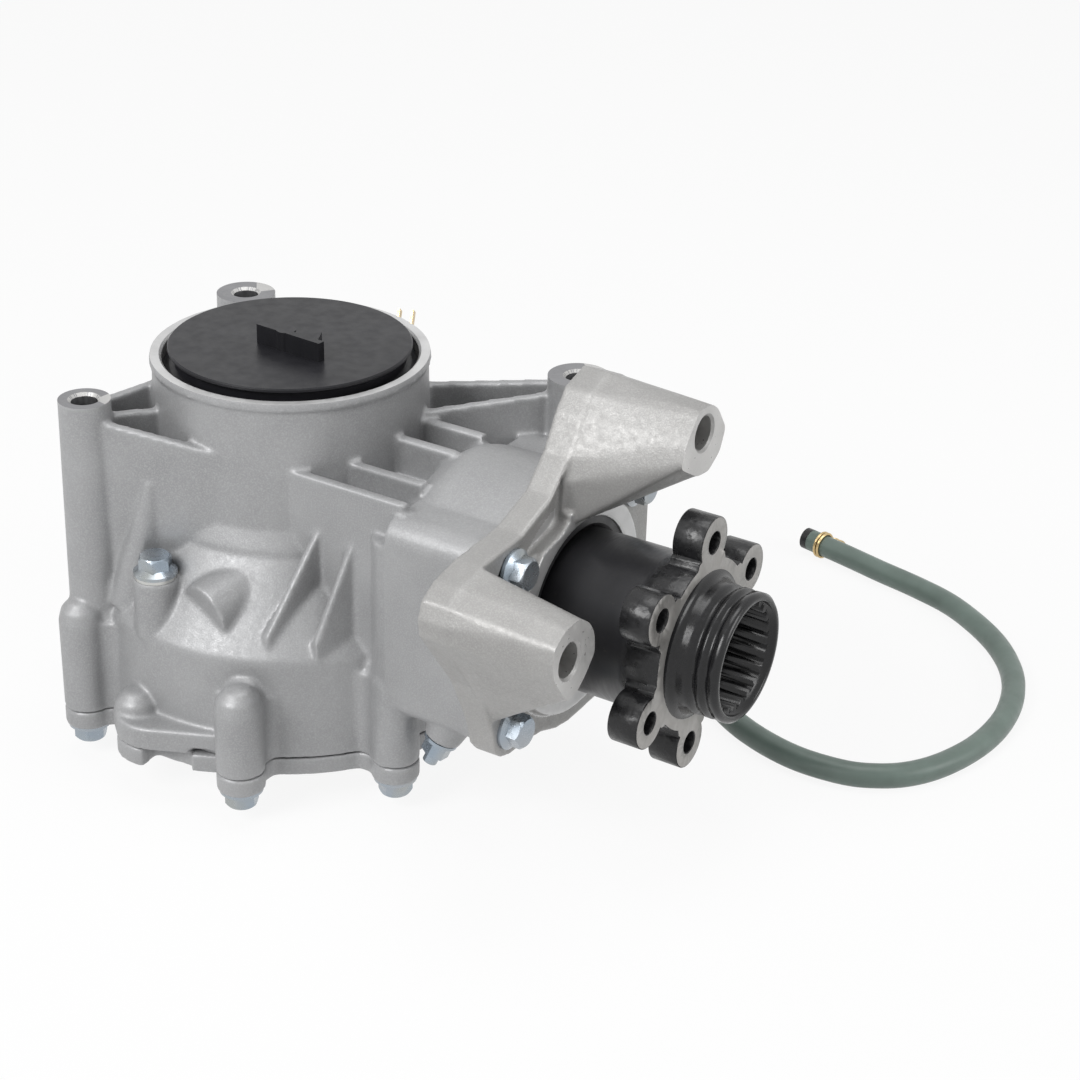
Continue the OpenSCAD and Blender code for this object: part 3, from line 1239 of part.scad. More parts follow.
module side_gear_washers() {
    color(brass_colour) translate([0, 0, diff_z]) for (s = [0, 1]) mirror([0, 0, s])
        translate([0, 0, side_back_z + 0.3]) tube(side_back_r, side_hub_r + 0.5, 1);
}

module spider_gear() {
    n = 3;
    count = spider_teeth * (2 * n + 2);
    half_pitch = 180 / spider_teeth;
    root = spider_cone - deg_of(diff_dedendum, diff_cone_len);
    tip = spider_cone + deg_of(diff_addendum, diff_cone_len);
    rho_in = diff_cone_len - diff_face_w;
    mid = root * 0.6;
    difference() {
        rotate([0, 0, half_pitch]) loop_ring([
            bevel_loop(spider_teeth, spider_cone, root, tip, spider_back_r, 0, n),
            bevel_loop(spider_teeth, spider_cone, root, tip, rho_in, 0, n),
            round_loop(count, cross_pin_r - 2, rho_in * cos(root), -half_pitch),
            round_loop(count, cross_pin_r - 2,
                spider_back_r * cos(asin((cross_pin_r - 2) / spider_back_r)), -half_pitch),
            round_loop(count, spider_back_r * sin(mid), spider_back_r * cos(mid), -half_pitch)]);
        translate([0, 0, 1]) cylinder(r = cross_pin_r + run_gap, h = 60);
    }
}

// Each spider gear turns on the cross pin, with a space towards each side gear
module spider_place(s) translate([0, 0, diff_z]) rotate([-90 * s, 0, 0]) rotate([0, 0, 90]) children();
module left_spider_gear() color(steel_colour) spider_place(1) spider_gear();
module right_spider_gear() color(steel_colour) spider_place(-1) spider_gear();

module spider_gear_washers() {
    color(brass_colour) for (s = [-1, 1]) spider_place(s) difference() {
        intersection() {
            sphere(r = diff_cavity_r - 0.05);
            cylinder(r = 13, h = 50);
        }
        sphere(r = diff_cavity_r - 0.7);
        cylinder(r = cross_pin_r + 0.1, h = 50);
    }
}

module transport_plug() {
    top = rim_z + plug_lift;
    color(black_colour) {
        translate([0, 0, top]) rotate_extrude()
            polygon([[0, 0], [plug_disc_r - 0.8, 0], [plug_disc_r, 0.8],
            [plug_disc_r, plug_disc_t - 0.5],
            [plug_disc_r - 0.5, plug_disc_t], [0, plug_disc_t]]);
        // Stepped skirt that grips the bore
        translate([0, 0, top - plug_depth]) rotate_extrude()
            polygon([[bore_r - plug_wall - 3, 0], [bore_r - 1.2, 0], [bore_r - 0.1, 1.5],
            [bore_r - 0.1, plug_depth - 7], [bore_r - 3, plug_depth - 5.5],
                [bore_r - 5, plug_depth - 5], [bore_r - 5, plug_depth + 0.5],
            [bore_r - plug_wall - 5, plug_depth + 0.5], [bore_r - plug_wall - 5, plug_depth - 7],
                [bore_r - plug_wall - 3, plug_depth - 9]]);
        plug_grip(top + plug_disc_t);
    }
}

// Straight grip bar with a round stub and a triangular rib behind it
module plug_grip(z) {
    translate([-10, -9, z - 0.2]) rotate([0, 0, -4]) {
        cube([33, 3.2, grip_h + 0.2]);
        translate([13, 3.2, 0]) cylinder(r = 4, h = grip_h + 0.2);
        translate([22, 3, 0]) linear_extrude(grip_h + 0.2) polygon([[0, 0], [8, 0], [4, 7]]);
    }
}

main_case();
side_cover();
cover_bolts();
cover_dowels();
cover_o_ring();
caliper_bracket();
bracket_bolts();
bracket_o_ring();
pinion_oil_seal();
upper_axle_seal();
lower_axle_seal();
upper_outer_race();
lower_outer_race();
inner_pinion_outer_race();
outer_pinion_outer_race();
carrier_shim();
pinion_race_spacer();
level_bolt();
level_bolt_washer();
drain_bolt();
drain_bolt_washer();
stop_stud();
stop_stud_nut();
breather_nipple();
hose_clamp();
breather_hose();
hose_end_plug();
hose_end_clip();
ring_gear();
diff_case_lower();
diff_case_upper();
ring_gear_bolts();
diff_case_screws();
cross_pin();
side_gear_washers();
spider_gear_washers();
upper_inner_race();
lower_inner_race();
upper_side_gear();
lower_side_gear();
left_spider_gear();
right_spider_gear();
upper_bearing_cage();
upper_bearing_balls();
lower_bearing_cage();
lower_bearing_balls();
pinion_gear();
pinion_flange();
pinion_nut();
pinion_nut_washer();
inner_pinion_inner_race();
outer_pinion_inner_race();
pinion_inner_spacer();
inner_pinion_cage();
inner_pinion_balls();
outer_pinion_cage();
outer_pinion_balls();
transport_plug();
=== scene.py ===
"""Final-drive differential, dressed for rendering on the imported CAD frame.

The castings are remeshed copies of their CAD solids, so that cast edges and corners are round,
and their machined faces and holes are cut again afterwards. Lengths are in metres, and the
helper mm() turns millimetres into metres.
"""

import json
import math

import bmesh
import bpy
from mathutils import Matrix, Vector


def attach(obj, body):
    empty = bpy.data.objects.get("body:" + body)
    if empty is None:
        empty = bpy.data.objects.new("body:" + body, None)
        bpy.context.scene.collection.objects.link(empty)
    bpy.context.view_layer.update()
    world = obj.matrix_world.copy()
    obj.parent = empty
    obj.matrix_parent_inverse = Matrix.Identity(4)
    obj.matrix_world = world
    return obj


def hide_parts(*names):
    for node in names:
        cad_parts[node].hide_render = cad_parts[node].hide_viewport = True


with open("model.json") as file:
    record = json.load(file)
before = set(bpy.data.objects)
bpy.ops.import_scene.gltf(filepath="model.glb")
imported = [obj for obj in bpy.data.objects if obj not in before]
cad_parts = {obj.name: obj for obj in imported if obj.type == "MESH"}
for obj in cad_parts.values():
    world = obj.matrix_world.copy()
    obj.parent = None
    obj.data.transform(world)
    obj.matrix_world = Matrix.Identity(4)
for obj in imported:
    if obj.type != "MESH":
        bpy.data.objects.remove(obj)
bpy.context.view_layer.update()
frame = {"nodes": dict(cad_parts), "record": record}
NODES = frame["nodes"]


def mm(*values):
    """Millimetres to metres, one number or a tuple."""
    scaled = tuple(v / 1000 for v in values)
    return scaled[0] if len(scaled) == 1 else scaled


# Places and sizes shared with the CAD model, in millimetres
RIM_Z = 165
BORE_R = 52
RIM_R = 56
WEB_TOP_Z = 137
PINION_Z = 90
BOSSES = ((-46.7, -72.1, 10.4), (-67.9, 55.9, 12.8), (100.1, 61, 12.8))
BOSS_Z = 157
BOSS_THREAD_R = 5.3
BOSS_THREAD_DEPTH = 26
LEVEL_BOLT = (-11.9, -75.1, 90)
LEVEL_SPOT_R = 9.6
CALIPER_X = 180
CALIPER_TIPS = ((20, 167), (-74, 113))
CALIPER_TIP_OUTLINES = (
    ((-4.9, 10.8), (5.2, 10.1), (10.2, 6.5), (17.2, -3.7), (13.6, -12), (5, -17.2), (-4.1, -16),
     (-17.2, -8), (-13.7, 0.7), (-10.8, 4.2)),
    ((6.1, 14.5), (13.3, 9.5), (16.6, 4.4), (17.6, -3.7), (11.6, -10.4), (5.9, -14.8),
     (-0.9, -16.5), (-10.3, -3.4), (-11.6, 3.1), (-10.6, 9.5), (-3.6, 13.7)),
)
CALIPER_HOLE_R = 6.8
CALIPER_FLOOR_X = 140
ARM_SOFT_X = 141
ARM_BLEND = 8
NOSE_OUTER_R = 46.5
NOSE_INNER_R = 38
NOSE_BACK_X = 131
SLEEVE_R = 31.8
SLEEVE_END = 15.5
FLANGE_X = 194.5
EAR_INNER_R = 34
HOSE_D = 10.5
HOSE_ROUTE = (
    (4, 70.1, 142.9), (1.6, 76.1, 138.4), (-2.1, 85.2, 131.2), (-6.2, 95, 121.5),
    (-9.9, 103.5, 108.5), (-12.4, 109.5, 93), (-13.2, 113.5, 76), (-12.3, 117, 58),
    (-9, 121, 40.5), (-3, 128, 24.5), (6, 139.5, 12.8), (16.8, 153, 6.8), (29.5, 166, 5.3),
    (45, 174.5, 5.3), (62, 178, 5.3), (79, 176, 5.3), (95, 168.5, 5.3), (109.5, 157, 5.3),
    (122.5, 142, 5.3), (134, 125, 5.3), (144, 108.5, 5.3), (155.5, 94, 5.3),
    (170.5, 83.3, 5.3), (189.1, 75.4, 5.3), (207.4, 71.7, 5.3), (225.4, 72.8, 5.3),
    (237.1, 77, 5.3), (248.9, 86, 5.3), (258.2, 100.7, 5.3), (264.8, 122.3, 5.3),
    (266.4, 145.9, 5.3), (262.7, 168.8, 5.3), (254.4, 189.4, 5.3), (241.2, 207.7, 5.3),
    (225.5, 221.9, 5.3), (205, 234.8, 5.3), (183.8, 242, 5.3), (163.4, 246.6, 5.5),
    (145.4, 250.7, 6), (130.6, 253.4, 6.6), (122.3, 255.2, 6.8),
)

# Stock left on a face before it is cut, reach of the cutters past it, and their lengths
STOCK = 3
CUT_MARGIN = 8
BOSS_CUT_T = 4.5
SPOT_CUT_T = 6
BORE_CUT = 30
RIM_FLARE = 1.2
COUNTERSINK = 4

# Camera, at the photograph's viewpoint
CAMERA_PLACE = mm(547.5, -696.7, 528.9)
CAMERA_PITCH = math.radians(26.967)
CAMERA_TURN = math.radians(58.522)
CAMERA_ROLL = math.radians(1.518)
CAMERA_LENS = 78.03


def make_camera():
    """A camera that looks down at the part from the front right."""
    camera = bpy.data.objects.new("camera", bpy.data.cameras.new("camera"))
    back = Vector((
        math.cos(CAMERA_TURN) * math.cos(CAMERA_PITCH),
        -math.sin(CAMERA_TURN) * math.cos(CAMERA_PITCH),
        math.sin(CAMERA_PITCH),
    ))
    right = Vector((math.sin(CAMERA_TURN), math.cos(CAMERA_TURN), 0))
    up = back.cross(right)
    rolled_right = math.cos(CAMERA_ROLL) * right + math.sin(CAMERA_ROLL) * up
    rolled_up = math.cos(CAMERA_ROLL) * up - math.sin(CAMERA_ROLL) * right
    turn = Matrix((rolled_right, rolled_up, back)).transposed().to_4x4()
    camera.matrix_world = Matrix.Translation(CAMERA_PLACE) @ turn
    camera.data.lens = CAMERA_LENS
    camera.data.sensor_width = 36
    camera.data.clip_start = 0.05
    bpy.context.scene.collection.objects.link(camera)
    bpy.context.scene.camera = camera


# Materials
class Shader:
    """A new material with short ways to add and join its nodes."""

    def __init__(self, name, color, roughness, metallic=0.0, **sockets):
        self.material = bpy.data.materials.new(name)
        self.material.use_nodes = True
        self.tree = self.material.node_tree
        self.bsdf = self.tree.nodes["Principled BSDF"]
        self.material.diffuse_color = (*color, 1)
        self.bsdf.inputs["Base Color"].default_value = (*color, 1)
        self.bsdf.inputs["Roughness"].default_value = roughness
        self.bsdf.inputs["Metallic"].default_value = metallic
        for key, value in sockets.items():
            self.bsdf.inputs[key.replace("_", " ")].default_value = value
        self.coords = self.node("ShaderNodeTexCoord").outputs["Object"]

    def node(self, kind, **inputs):
        """Adds a node and sets its inputs by name or number."""
        made = self.tree.nodes.new(kind)
        for key, value in inputs.items():
            made.inputs[key.replace("_", " ")].default_value = value
        return made

    def join(self, source, target):
        self.tree.links.new(source, target)

    def stretched(self, scale, turn=(0, 0, 0)):
        """Object coordinates stretched by a scale for each axis."""
        mapping = self.node("ShaderNodeMapping")
        mapping.inputs["Scale"].default_value = scale
        mapping.inputs["Rotation"].default_value = turn
        self.join(self.coords, mapping.inputs["Vector"])
        return mapping.outputs["Vector"]

    def noise(self, scale, detail=2.0, roughness=0.5, coords=None):
        made = self.node("ShaderNodeTexNoise", Scale=scale, Detail=detail, Roughness=roughness)
        self.join(coords or self.coords, made.inputs["Vector"])
        return made.outputs["Fac"]

    def spread(self, source, low, high, from_low=0.3, from_high=0.7):
        """Maps a noise's usable middle on to a range."""
        made = self.node("ShaderNodeMapRange")
        made.inputs["From Min"].default_value = from_low
        made.inputs["From Max"].default_value = from_high
        made.inputs["To Min"].default_value = low
        made.inputs["To Max"].default_value = high
        self.join(source, made.inputs["Value"])
        return made.outputs["Result"]

    def blend(self, factor, first, second, mode="MIX"):
        """Mixes two colours, each a tuple or a node's output."""
        made = self.node("ShaderNodeMix")
        made.data_type = "RGBA"
        made.blend_type = mode
        for name, value in (("A", first), ("B", second)):
            target = [s for s in made.inputs if s.name == name and s.type == "RGBA"][0]
            if isinstance(value, tuple):
                target.default_value = (*value, 1)
            else:
                self.join(value, target)
        if isinstance(factor, float):
            made.inputs["Factor"].default_value = factor
        else:
            self.join(factor, made.inputs["Factor"])
        return [s for s in made.outputs if s.type == "RGBA"][0]

    def edge(self, low=0.5, high=0.56):
        """How much a point stands out on a rounded edge, from 0 to 1."""
        geometry = self.node("ShaderNodeNewGeometry")
        return self.spread(geometry.outputs["Pointiness"], 0, 1, low, high)

    def color(self, source):
        self.join(source, self.bsdf.inputs["Base Color"])

    def rough(self, source):
        self.join(source, self.bsdf.inputs["Roughness"])

    def bump(self, *layers):
        """Stacks bump layers, each (height, strength, depth in mm)."""
        below = None
        for height, strength, depth in layers:
            made = self.node("ShaderNodeBump", Strength=strength, Distance=mm(depth))
            self.join(height, made.inputs["Height"])
            if below:
                self.join(below, made.inputs["Normal"])
            below = made.outputs["Normal"]
        self.join(below, self.bsdf.inputs["Normal"])


def cast_material(name, color, dark, metallic, roughness):
    """Shot-blasted casting: fine sparkle of grain, soft patches and painted edge highlights."""
    s = Shader(name, color, roughness, metallic)
    grain = s.noise(1500, 3, 0.65)
    patches = s.noise(28, 4, 0.6)
    base = s.blend(s.spread(patches, 0.0, 1.0), dark, color)
    lighter = tuple(min(1.0, c * 1.28) for c in color)
    base = s.blend(s.spread(grain, 0.0, 0.75, 0.45, 0.75), base, lighter)
    # Painted highlight: rounded edges, found by pointiness, are lightened in the base colour.
    base = s.blend(s.spread(s.edge(), 0, 0.45, 0, 1), base, lighter)
    s.color(base)
    s.rough(s.spread(s.noise(420, 2), roughness - 0.07, roughness + 0.08))
    s.bump((s.noise(90, 3), 0.25, 0.5), (grain, 0.32, 0.35))
    return s.material


def machined_material(name, color, roughness=0.33, turned_about=None):
    """Bare machined metal with fine tool marks."""
    s = Shader(name, color, roughness, 0.6)
    if turned_about is None:
        marks = s.noise(260, 2, 0.5, s.stretched((1, 12, 1), (0, 0, 0.5)))
    else:
        rings = s.node("ShaderNodeTexWave", Scale=520.0, Distortion=1.5, Detail=2.0)
        rings.wave_type = "RINGS"
        rings.rings_direction = turned_about
        s.join(s.stretched((1, 1, 1)), rings.inputs["Vector"])
        marks = rings.outputs["Fac"]
    dark = tuple(c * 0.8 for c in color)
    s.color(s.blend(s.spread(s.noise(60, 3), 0, 1), dark, color))
    s.rough(s.spread(s.noise(500, 2), roughness - 0.06, roughness + 0.1))
    s.bump((marks, 0.25, 0.06))
    return s.material


def zinc_material(name, color):
    """Bright zinc plating with a faint blue and straw bloom."""
    s = Shader(name, color, 0.27, 0.85)
    straw = (color[0] * 1.0, color[1] * 0.94, color[2] * 0.78)
    blue = (color[0] * 0.8, color[1] * 0.9, color[2] * 1.0)
    bloom = s.blend(s.spread(s.noise(70, 1), 0, 1), color, blue)
    s.color(s.blend(s.spread(s.noise(60, 2), 0, 0.5, 0.5, 0.7), bloom, straw))
    s.rough(s.spread(s.noise(300, 3), 0.2, 0.36))
    s.bump((s.noise(500, 1), 0.08, 0.08))
    return s.material


def steel_material(name, color, roughness):
    """Ground steel with a light grain."""
    s = Shader(name, color, roughness, 1.0)
    s.color(s.blend(s.spread(s.noise(80, 3), 0, 1), tuple(c * 0.85 for c in color), color))
    s.rough(s.spread(s.noise(600, 2), roughness - 0.06, roughness + 0.08))
    s.bump((s.noise(900, 2), 0.1, 0.05))
    return s.material


def forging_material(name, color, roughness, grain):
    """Black oxide on a rough forged skin."""
    s = Shader(name, color, roughness, 0.0)
    s.bsdf.inputs["Specular IOR Level"].default_value = 0.4
    worn = tuple(c * 1.8 for c in color)
    s.color(s.blend(s.spread(s.noise(500, 3), 0, 1, 0.5, 0.75), color, worn))
    s.rough(s.spread(s.noise(350, 3), roughness - 0.05, roughness + 0.12))
    s.bump((s.noise(170, 2), 0.7 * grain, 0.7), (s.noise(520, 3), 0.5 * grain, 0.25))
    return s.material


def shaft_material(name, color):
    """Satin black shaft with scratches that run round it."""
    s = Shader(name, color, 0.3, 0.0)
    s.bsdf.inputs["Specular IOR Level"].default_value = 0.45
    marks = s.noise(90, 4, 0.7, s.stretched((9, 1, 1)))
    fine = s.noise(240, 5, 0.7, s.stretched((1, 5, 3), (0.4, 0.3, 0.2)))
    scratches = s.spread(fine, 0, 1, 0.66, 0.74)
    s.color(s.blend(scratches, color, (0.07, 0.062, 0.05)))
    s.rough(s.spread(marks, 0.3, 0.42))
    s.bump((marks, 0.05, 0.04))
    return s.material


def rubber_material(name, color, roughness, sheen=0.0):
    """Smooth rubber with a dusty bloom."""
    s = Shader(name, color, roughness, 0.0)
    s.bsdf.inputs["Sheen Weight"].default_value = sheen
    paler = tuple(min(1, c * 1.3 + 0.006) for c in color)
    s.color(s.blend(s.spread(s.noise(70, 4), 0, 1), color, paler))
    s.rough(s.spread(s.noise(260, 3), roughness - 0.06, roughness + 0.1))
    s.bump((s.noise(1200, 2), 0.12, 0.08))
    return s.material


def plastic_material(name, color, roughness, specular=0.4):
    """Moulded plastic with a fine spark-eroded texture."""
    s = Shader(name, color, roughness, 0.0)
    s.bsdf.inputs["Specular IOR Level"].default_value = specular
    s.color(s.blend(s.spread(s.noise(45, 4), 0, 1), color, tuple(c * 1.5 for c in color)))
    s.rough(s.spread(s.noise(200, 3), roughness - 0.05, roughness + 0.08))
    s.bump((s.noise(2200, 2), 0.2, 0.06))
    return s.material


def brass_material(name, color, roughness):
    """Passivated wire or machined brass."""
    s = Shader(name, color, roughness, 1.0)
    s.color(s.blend(s.spread(s.noise(300, 3), 0, 1), color, tuple(c * 0.7 for c in color)))
    s.rough(s.spread(s.noise(500, 2), roughness - 0.05, roughness + 0.1))
    s.bump((s.noise(800, 2), 0.1, 0.05))
    return s.material


CASE_GREY = (0.345, 0.347, 0.352)
CASE_DARK = (0.282, 0.284, 0.289)
BRACKET_GREY = (0.345, 0.341, 0.335)
BRACKET_DARK = (0.285, 0.281, 0.275)

MATERIALS = {
    "case_casting": cast_material("case_casting", CASE_GREY, CASE_DARK, 0.3, 0.46),
    "bracket_casting": cast_material("bracket_casting", BRACKET_GREY, BRACKET_DARK, 0.3, 0.44),
    "machined": machined_material("machined", (0.57, 0.565, 0.555)),
    "turned_rim": machined_material("turned_rim", (0.66, 0.66, 0.66), 0.36, "Z"),
    "turned_nose": machined_material("turned_nose", (0.6, 0.6, 0.6), 0.36, "X"),
    "thread": steel_material("thread", (0.28, 0.28, 0.29), 0.45),
    "zinc_plated": zinc_material("zinc_plated", (0.4, 0.42, 0.44)),
    "bearing_steel": steel_material("bearing_steel", (0.66, 0.67, 0.69), 0.24),
    "gear_steel": steel_material("gear_steel", (0.42, 0.43, 0.45), 0.32),
    "carrier_iron": cast_material("carrier_iron", (0.2, 0.2, 0.21), (0.13, 0.13, 0.14), 0.7, 0.5),
    "flange_forging": forging_material("flange_forging", (0.011, 0.011, 0.012), 0.27, 1.0),
    "flange_face": machined_material("flange_face", (0.36, 0.35, 0.335), 0.36, "X"),
    "flange_hub": forging_material("flange_hub", (0.007, 0.007, 0.008), 0.2, 0.06),
    "flange_sleeve": shaft_material("flange_sleeve", (0.018, 0.018, 0.02)),
    "seal_rubber": rubber_material("seal_rubber", (0.012, 0.012, 0.013), 0.42),
    "plug_plastic": plastic_material("plug_plastic", (0.01, 0.01, 0.012), 0.36, 0.24),
    "hose_rubber": rubber_material("hose_rubber", (0.115, 0.155, 0.135), 0.4, 0.1),
    "hose_plug_plastic": plastic_material("hose_plug_plastic", (0.008, 0.008, 0.009), 0.28),
    "brass_wire": brass_material("brass_wire", (0.66, 0.5, 0.26), 0.28),
    "cage_brass": brass_material("cage_brass", (0.6, 0.42, 0.19), 0.35),
    "washer_alloy": steel_material("washer_alloy", (0.62, 0.62, 0.6), 0.4),
}


def dress(obj, *names):
    """Gives an object these materials in this order."""
    obj.data.materials.clear()
    for name in names:
        obj.data.materials.append(MATERIALS[name])


# Mesh helpers
def link(name, mesh):
    made = bpy.data.objects.new(name, mesh)
    bpy.context.scene.collection.objects.link(made)
    return made


def mesh_of(name, build):
    """A mesh made by a function that fills a bmesh."""
    work = bmesh.new()
    build(work)
    mesh = bpy.data.meshes.new(name)
    work.to_mesh(mesh)
    work.free()
    return mesh


def add_bar(work, r1, r2, length, place, axis="Z", sides=96):
    """Adds a closed bar or cone from place along +Z or +X, in millimetres."""
    turn = Matrix.Rotation(math.radians(90), 4, "Y") if axis == "X" else Matrix.Identity(4)
    shift = Matrix.Translation((0, 0, mm(length) / 2))
    bmesh.ops.create_cone(
        work, cap_ends=True, segments=sides, radius1=mm(r1), radius2=mm(r2), depth=mm(length),
        matrix=Matrix.Translation(mm(*place)) @ turn @ shift,
    )


def node_mesh(node):
    """A welded copy of a CAD node's mesh."""
    work = bmesh.new()
    work.from_mesh(NODES[node].data)
    bmesh.ops.remove_doubles(work, verts=work.verts, dist=1e-6)
    mesh = bpy.data.meshes.new(node + "_copy")
    work.to_mesh(mesh)
    work.free()
    mesh.materials.clear()
    return mesh


def applied(obj):
    """Bakes an object's modifiers into its mesh."""
    depsgraph = bpy.context.evaluated_depsgraph_get()
    mesh = bpy.data.meshes.new_from_object(obj.evaluated_get(depsgraph))
    obj.modifiers.clear()
    old = obj.data
    obj.data = mesh
    bpy.data.meshes.remove(old)


def add_prism(work, outline, low_x, high_x):
    """Adds a closed prism along X on an outline of (y, z) points, in millimetres."""
    ends = [[work.verts.new(mm(x, y, z)) for y, z in outline] for x in (low_x, high_x)]
    for near_vert, far_vert, next_near, next_far in zip(
            ends[0], ends[1], ends[0][1:] + ends[0][:1], ends[1][1:] + ends[1][:1]):
        work.faces.new((near_vert, next_near, next_far, far_vert))
    work.faces.new(ends[0][::-1])
    work.faces.new(ends[1])


def soften(piece, weight_at, iterations):
    """Smooths the part of a mesh where weight_at gives more than 0."""
    group = piece.vertex_groups.new(name="soft")
    for vertex in piece.data.vertices:
        weight = weight_at(vertex.co * 1000)
        if weight > 0:
            group.add((vertex.index,), min(weight, 1), "REPLACE")
    smooth = piece.modifiers.new("soft", "SMOOTH")
    smooth.factor = 0.5
    smooth.iterations = iterations
    smooth.vertex_group = "soft"
    applied(piece)
    piece.vertex_groups.clear()


def cast_piece(name, node, stock, cutters, voxel, smoothing, prisms=(), soft=None):
    """A casting: the CAD solid with stock on its machined faces, rounded, then cut again."""
    work = bmesh.new()
    work.from_mesh(node_mesh(node))
    for bar in stock:
        add_bar(work, *bar)
    for prism in prisms:
        add_prism(work, *prism)
    mesh = bpy.data.meshes.new(name)
    work.to_mesh(mesh)
    work.free()
    piece = link(name, mesh)
    remesh = piece.modifiers.new("skin", "REMESH")
    remesh.mode = "VOXEL"
    remesh.voxel_size = mm(voxel)
    smooth = piece.modifiers.new("round", "SMOOTH")
    smooth.factor = 0.5
    smooth.iterations = smoothing
    applied(piece)
    if soft:
        soften(piece, *soft)
    for index, bars in enumerate(cutters):
        cutter = link("cutter", mesh_of("cutter", lambda w: [add_bar(w, *bar) for bar in bars]))
        cut = piece.modifiers.new("cut%d" % index, "BOOLEAN")
        cut.operation = "DIFFERENCE"
        cut.solver = "MANIFOLD"
        cut.object = cutter
        applied(piece)
        bpy.data.objects.remove(cutter)
    piece.data.polygons.foreach_set("use_smooth", [True] * len(piece.data.polygons))
    piece.data.set_sharp_from_angle(angle=math.radians(40))
    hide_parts(node)
    return piece


def countersink(r, length, place, axis="Z"):
    """A cutter for a chamfer at 45 degrees round a hole, which starts inside the hole."""
    return (r - 1, r - 1 + length, length, place, axis)


def frame_slot(node):
    """The record's material slot of a CAD node."""
    for part in frame["record"]["subparts"]:
        if part["node"] == node:
            return part["material_slot"]
    raise KeyError(node)


def paint(piece, names, rules):
    """Assigns materials by face: names[0] everywhere, then each rule's where it holds."""
    dress(piece, *names)
    for face in piece.data.polygons:
        centre = face.center * 1000
        for index, rule in rules:
            if rule(centre, face.normal):
                face.material_index = index
                break


# Main case
def near(value, target, slack=0.15):
    return abs(value - target) < slack


def plan_r(c, x=0, y=0):
    return math.hypot(c.x - x, c.y - y)


def side_r(c, y=0, z=PINION_Z):
    return math.hypot(c.y - y, c.z - z)


def make_case():
    plug_r = BOSS_THREAD_R + 1
    rim_cut_r = RIM_R + CUT_MARGIN
    stock = [(RIM_R + RIM_FLARE, RIM_R, 2 * STOCK, (0, 0, RIM_Z - STOCK))]
    cuts = [(rim_cut_r, rim_cut_r, CUT_MARGIN, (0, 0, RIM_Z))]
    bores = [(BORE_R, BORE_R, BORE_CUT, (0, 0, WEB_TOP_Z))]
    cones = [countersink(BORE_R, COUNTERSINK, (0, 0, RIM_Z - 2))]
    for x, y, r in BOSSES:
        foot = (x, y, BOSS_Z - BOSS_THREAD_DEPTH)
        stock.append((r, r, 2 * STOCK, (x, y, BOSS_Z - STOCK)))
        stock.append((plug_r, plug_r, BOSS_THREAD_DEPTH, foot))
        cuts.append((r + 3, r + 3, BOSS_CUT_T, (x, y, BOSS_Z)))
        bores.append((BOSS_THREAD_R, BOSS_THREAD_R, BORE_CUT, foot))
        cones.append(countersink(BOSS_THREAD_R, COUNTERSINK, (x, y, BOSS_Z - 2.2)))
    cuts.append((LEVEL_SPOT_R, LEVEL_SPOT_R, SPOT_CUT_T, LEVEL_BOLT))
    piece = cast_piece("case_casting", "main_case", stock, (cuts, bores, cones),
                       voxel=0.9, smoothing=7)

    def flat_top(c, n):
        return n.z > 0.99 and (near(c.z, BOSS_Z) or near(c.z, LEVEL_BOLT[2]))

    def rim_top(c, n):
        return n.z > 0.5 and c.z > RIM_Z - 1.2

    def chamfer(c, n):
        reach = BOSS_THREAD_R + 2.6
        return c.z > BOSS_Z - 2.3 and any(plan_r(c, x, y) < reach for x, y, r in BOSSES)

    def thread(c, n):
        reach = BOSS_THREAD_R + 0.4
        deep = c.z > BOSS_Z - BOSS_THREAD_DEPTH - 1
        return deep and any(plan_r(c, x, y) < reach for x, y, r in BOSSES)

    def bore(c, n):
        return plan_r(c) < BORE_R + 0.4 and c.z > WEB_TOP_Z

    paint(piece, ("case_casting", "machined", "turned_rim", "thread"),
          ((2, rim_top), (3, thread), (1, chamfer), (1, flat_top), (1, bore)))
    return piece


def make_bracket():
    stock = []
    cuts = []
    bores = []
    cones = []
    plug_r = CALIPER_HOLE_R + 1.5
    for y, z in CALIPER_TIPS:
        floor = (CALIPER_FLOOR_X, y, z)
        stock.append((plug_r, plug_r, CALIPER_X - CALIPER_FLOOR_X + 2, floor, "X"))
        cuts.append((30, 30, 12, (CALIPER_X, y, z), "X"))
        bores.append((CALIPER_HOLE_R, CALIPER_HOLE_R, 50, floor, "X"))
        cones.append(countersink(CALIPER_HOLE_R, 3, (CALIPER_X - 2, y, z), "X"))
    prisms = [([(y + dy, z + dz) for dy, dz in outline], CALIPER_X - 0.5, CALIPER_X + 7)
              for (y, z), outline in zip(CALIPER_TIPS, CALIPER_TIP_OUTLINES)]

    def arm_weight(c):
        return (c.x - ARM_SOFT_X) / ARM_BLEND if c.x > ARM_SOFT_X else 0

    piece = cast_piece("bracket_casting", "caliper_bracket", stock, (cuts, bores, cones),
                       voxel=0.75, smoothing=6, prisms=prisms, soft=(arm_weight, 40))

    def tip(c, n):
        return n.x > 0.9 and c.x > CALIPER_X - 2.2

    def hole(c, n):
        reach = CALIPER_HOLE_R + 0.3
        return c.x > CALIPER_FLOOR_X and any(side_r(c, y, z) < reach for y, z in CALIPER_TIPS)

    def nose(c, n):
        turned = n.x > 0.9 or side_r(c) < NOSE_INNER_R
        return turned and side_r(c) < NOSE_OUTER_R and c.x > NOSE_BACK_X

    paint(piece, ("bracket_casting", "machined", "turned_nose"), ((1, tip), (1, hole), (2, nose)))
    return piece


def make_cover():
    piece = cast_piece("cover_casting", "side_cover", (), (), voxel=0.9, smoothing=6)
    dress(piece, "case_casting")
    return piece


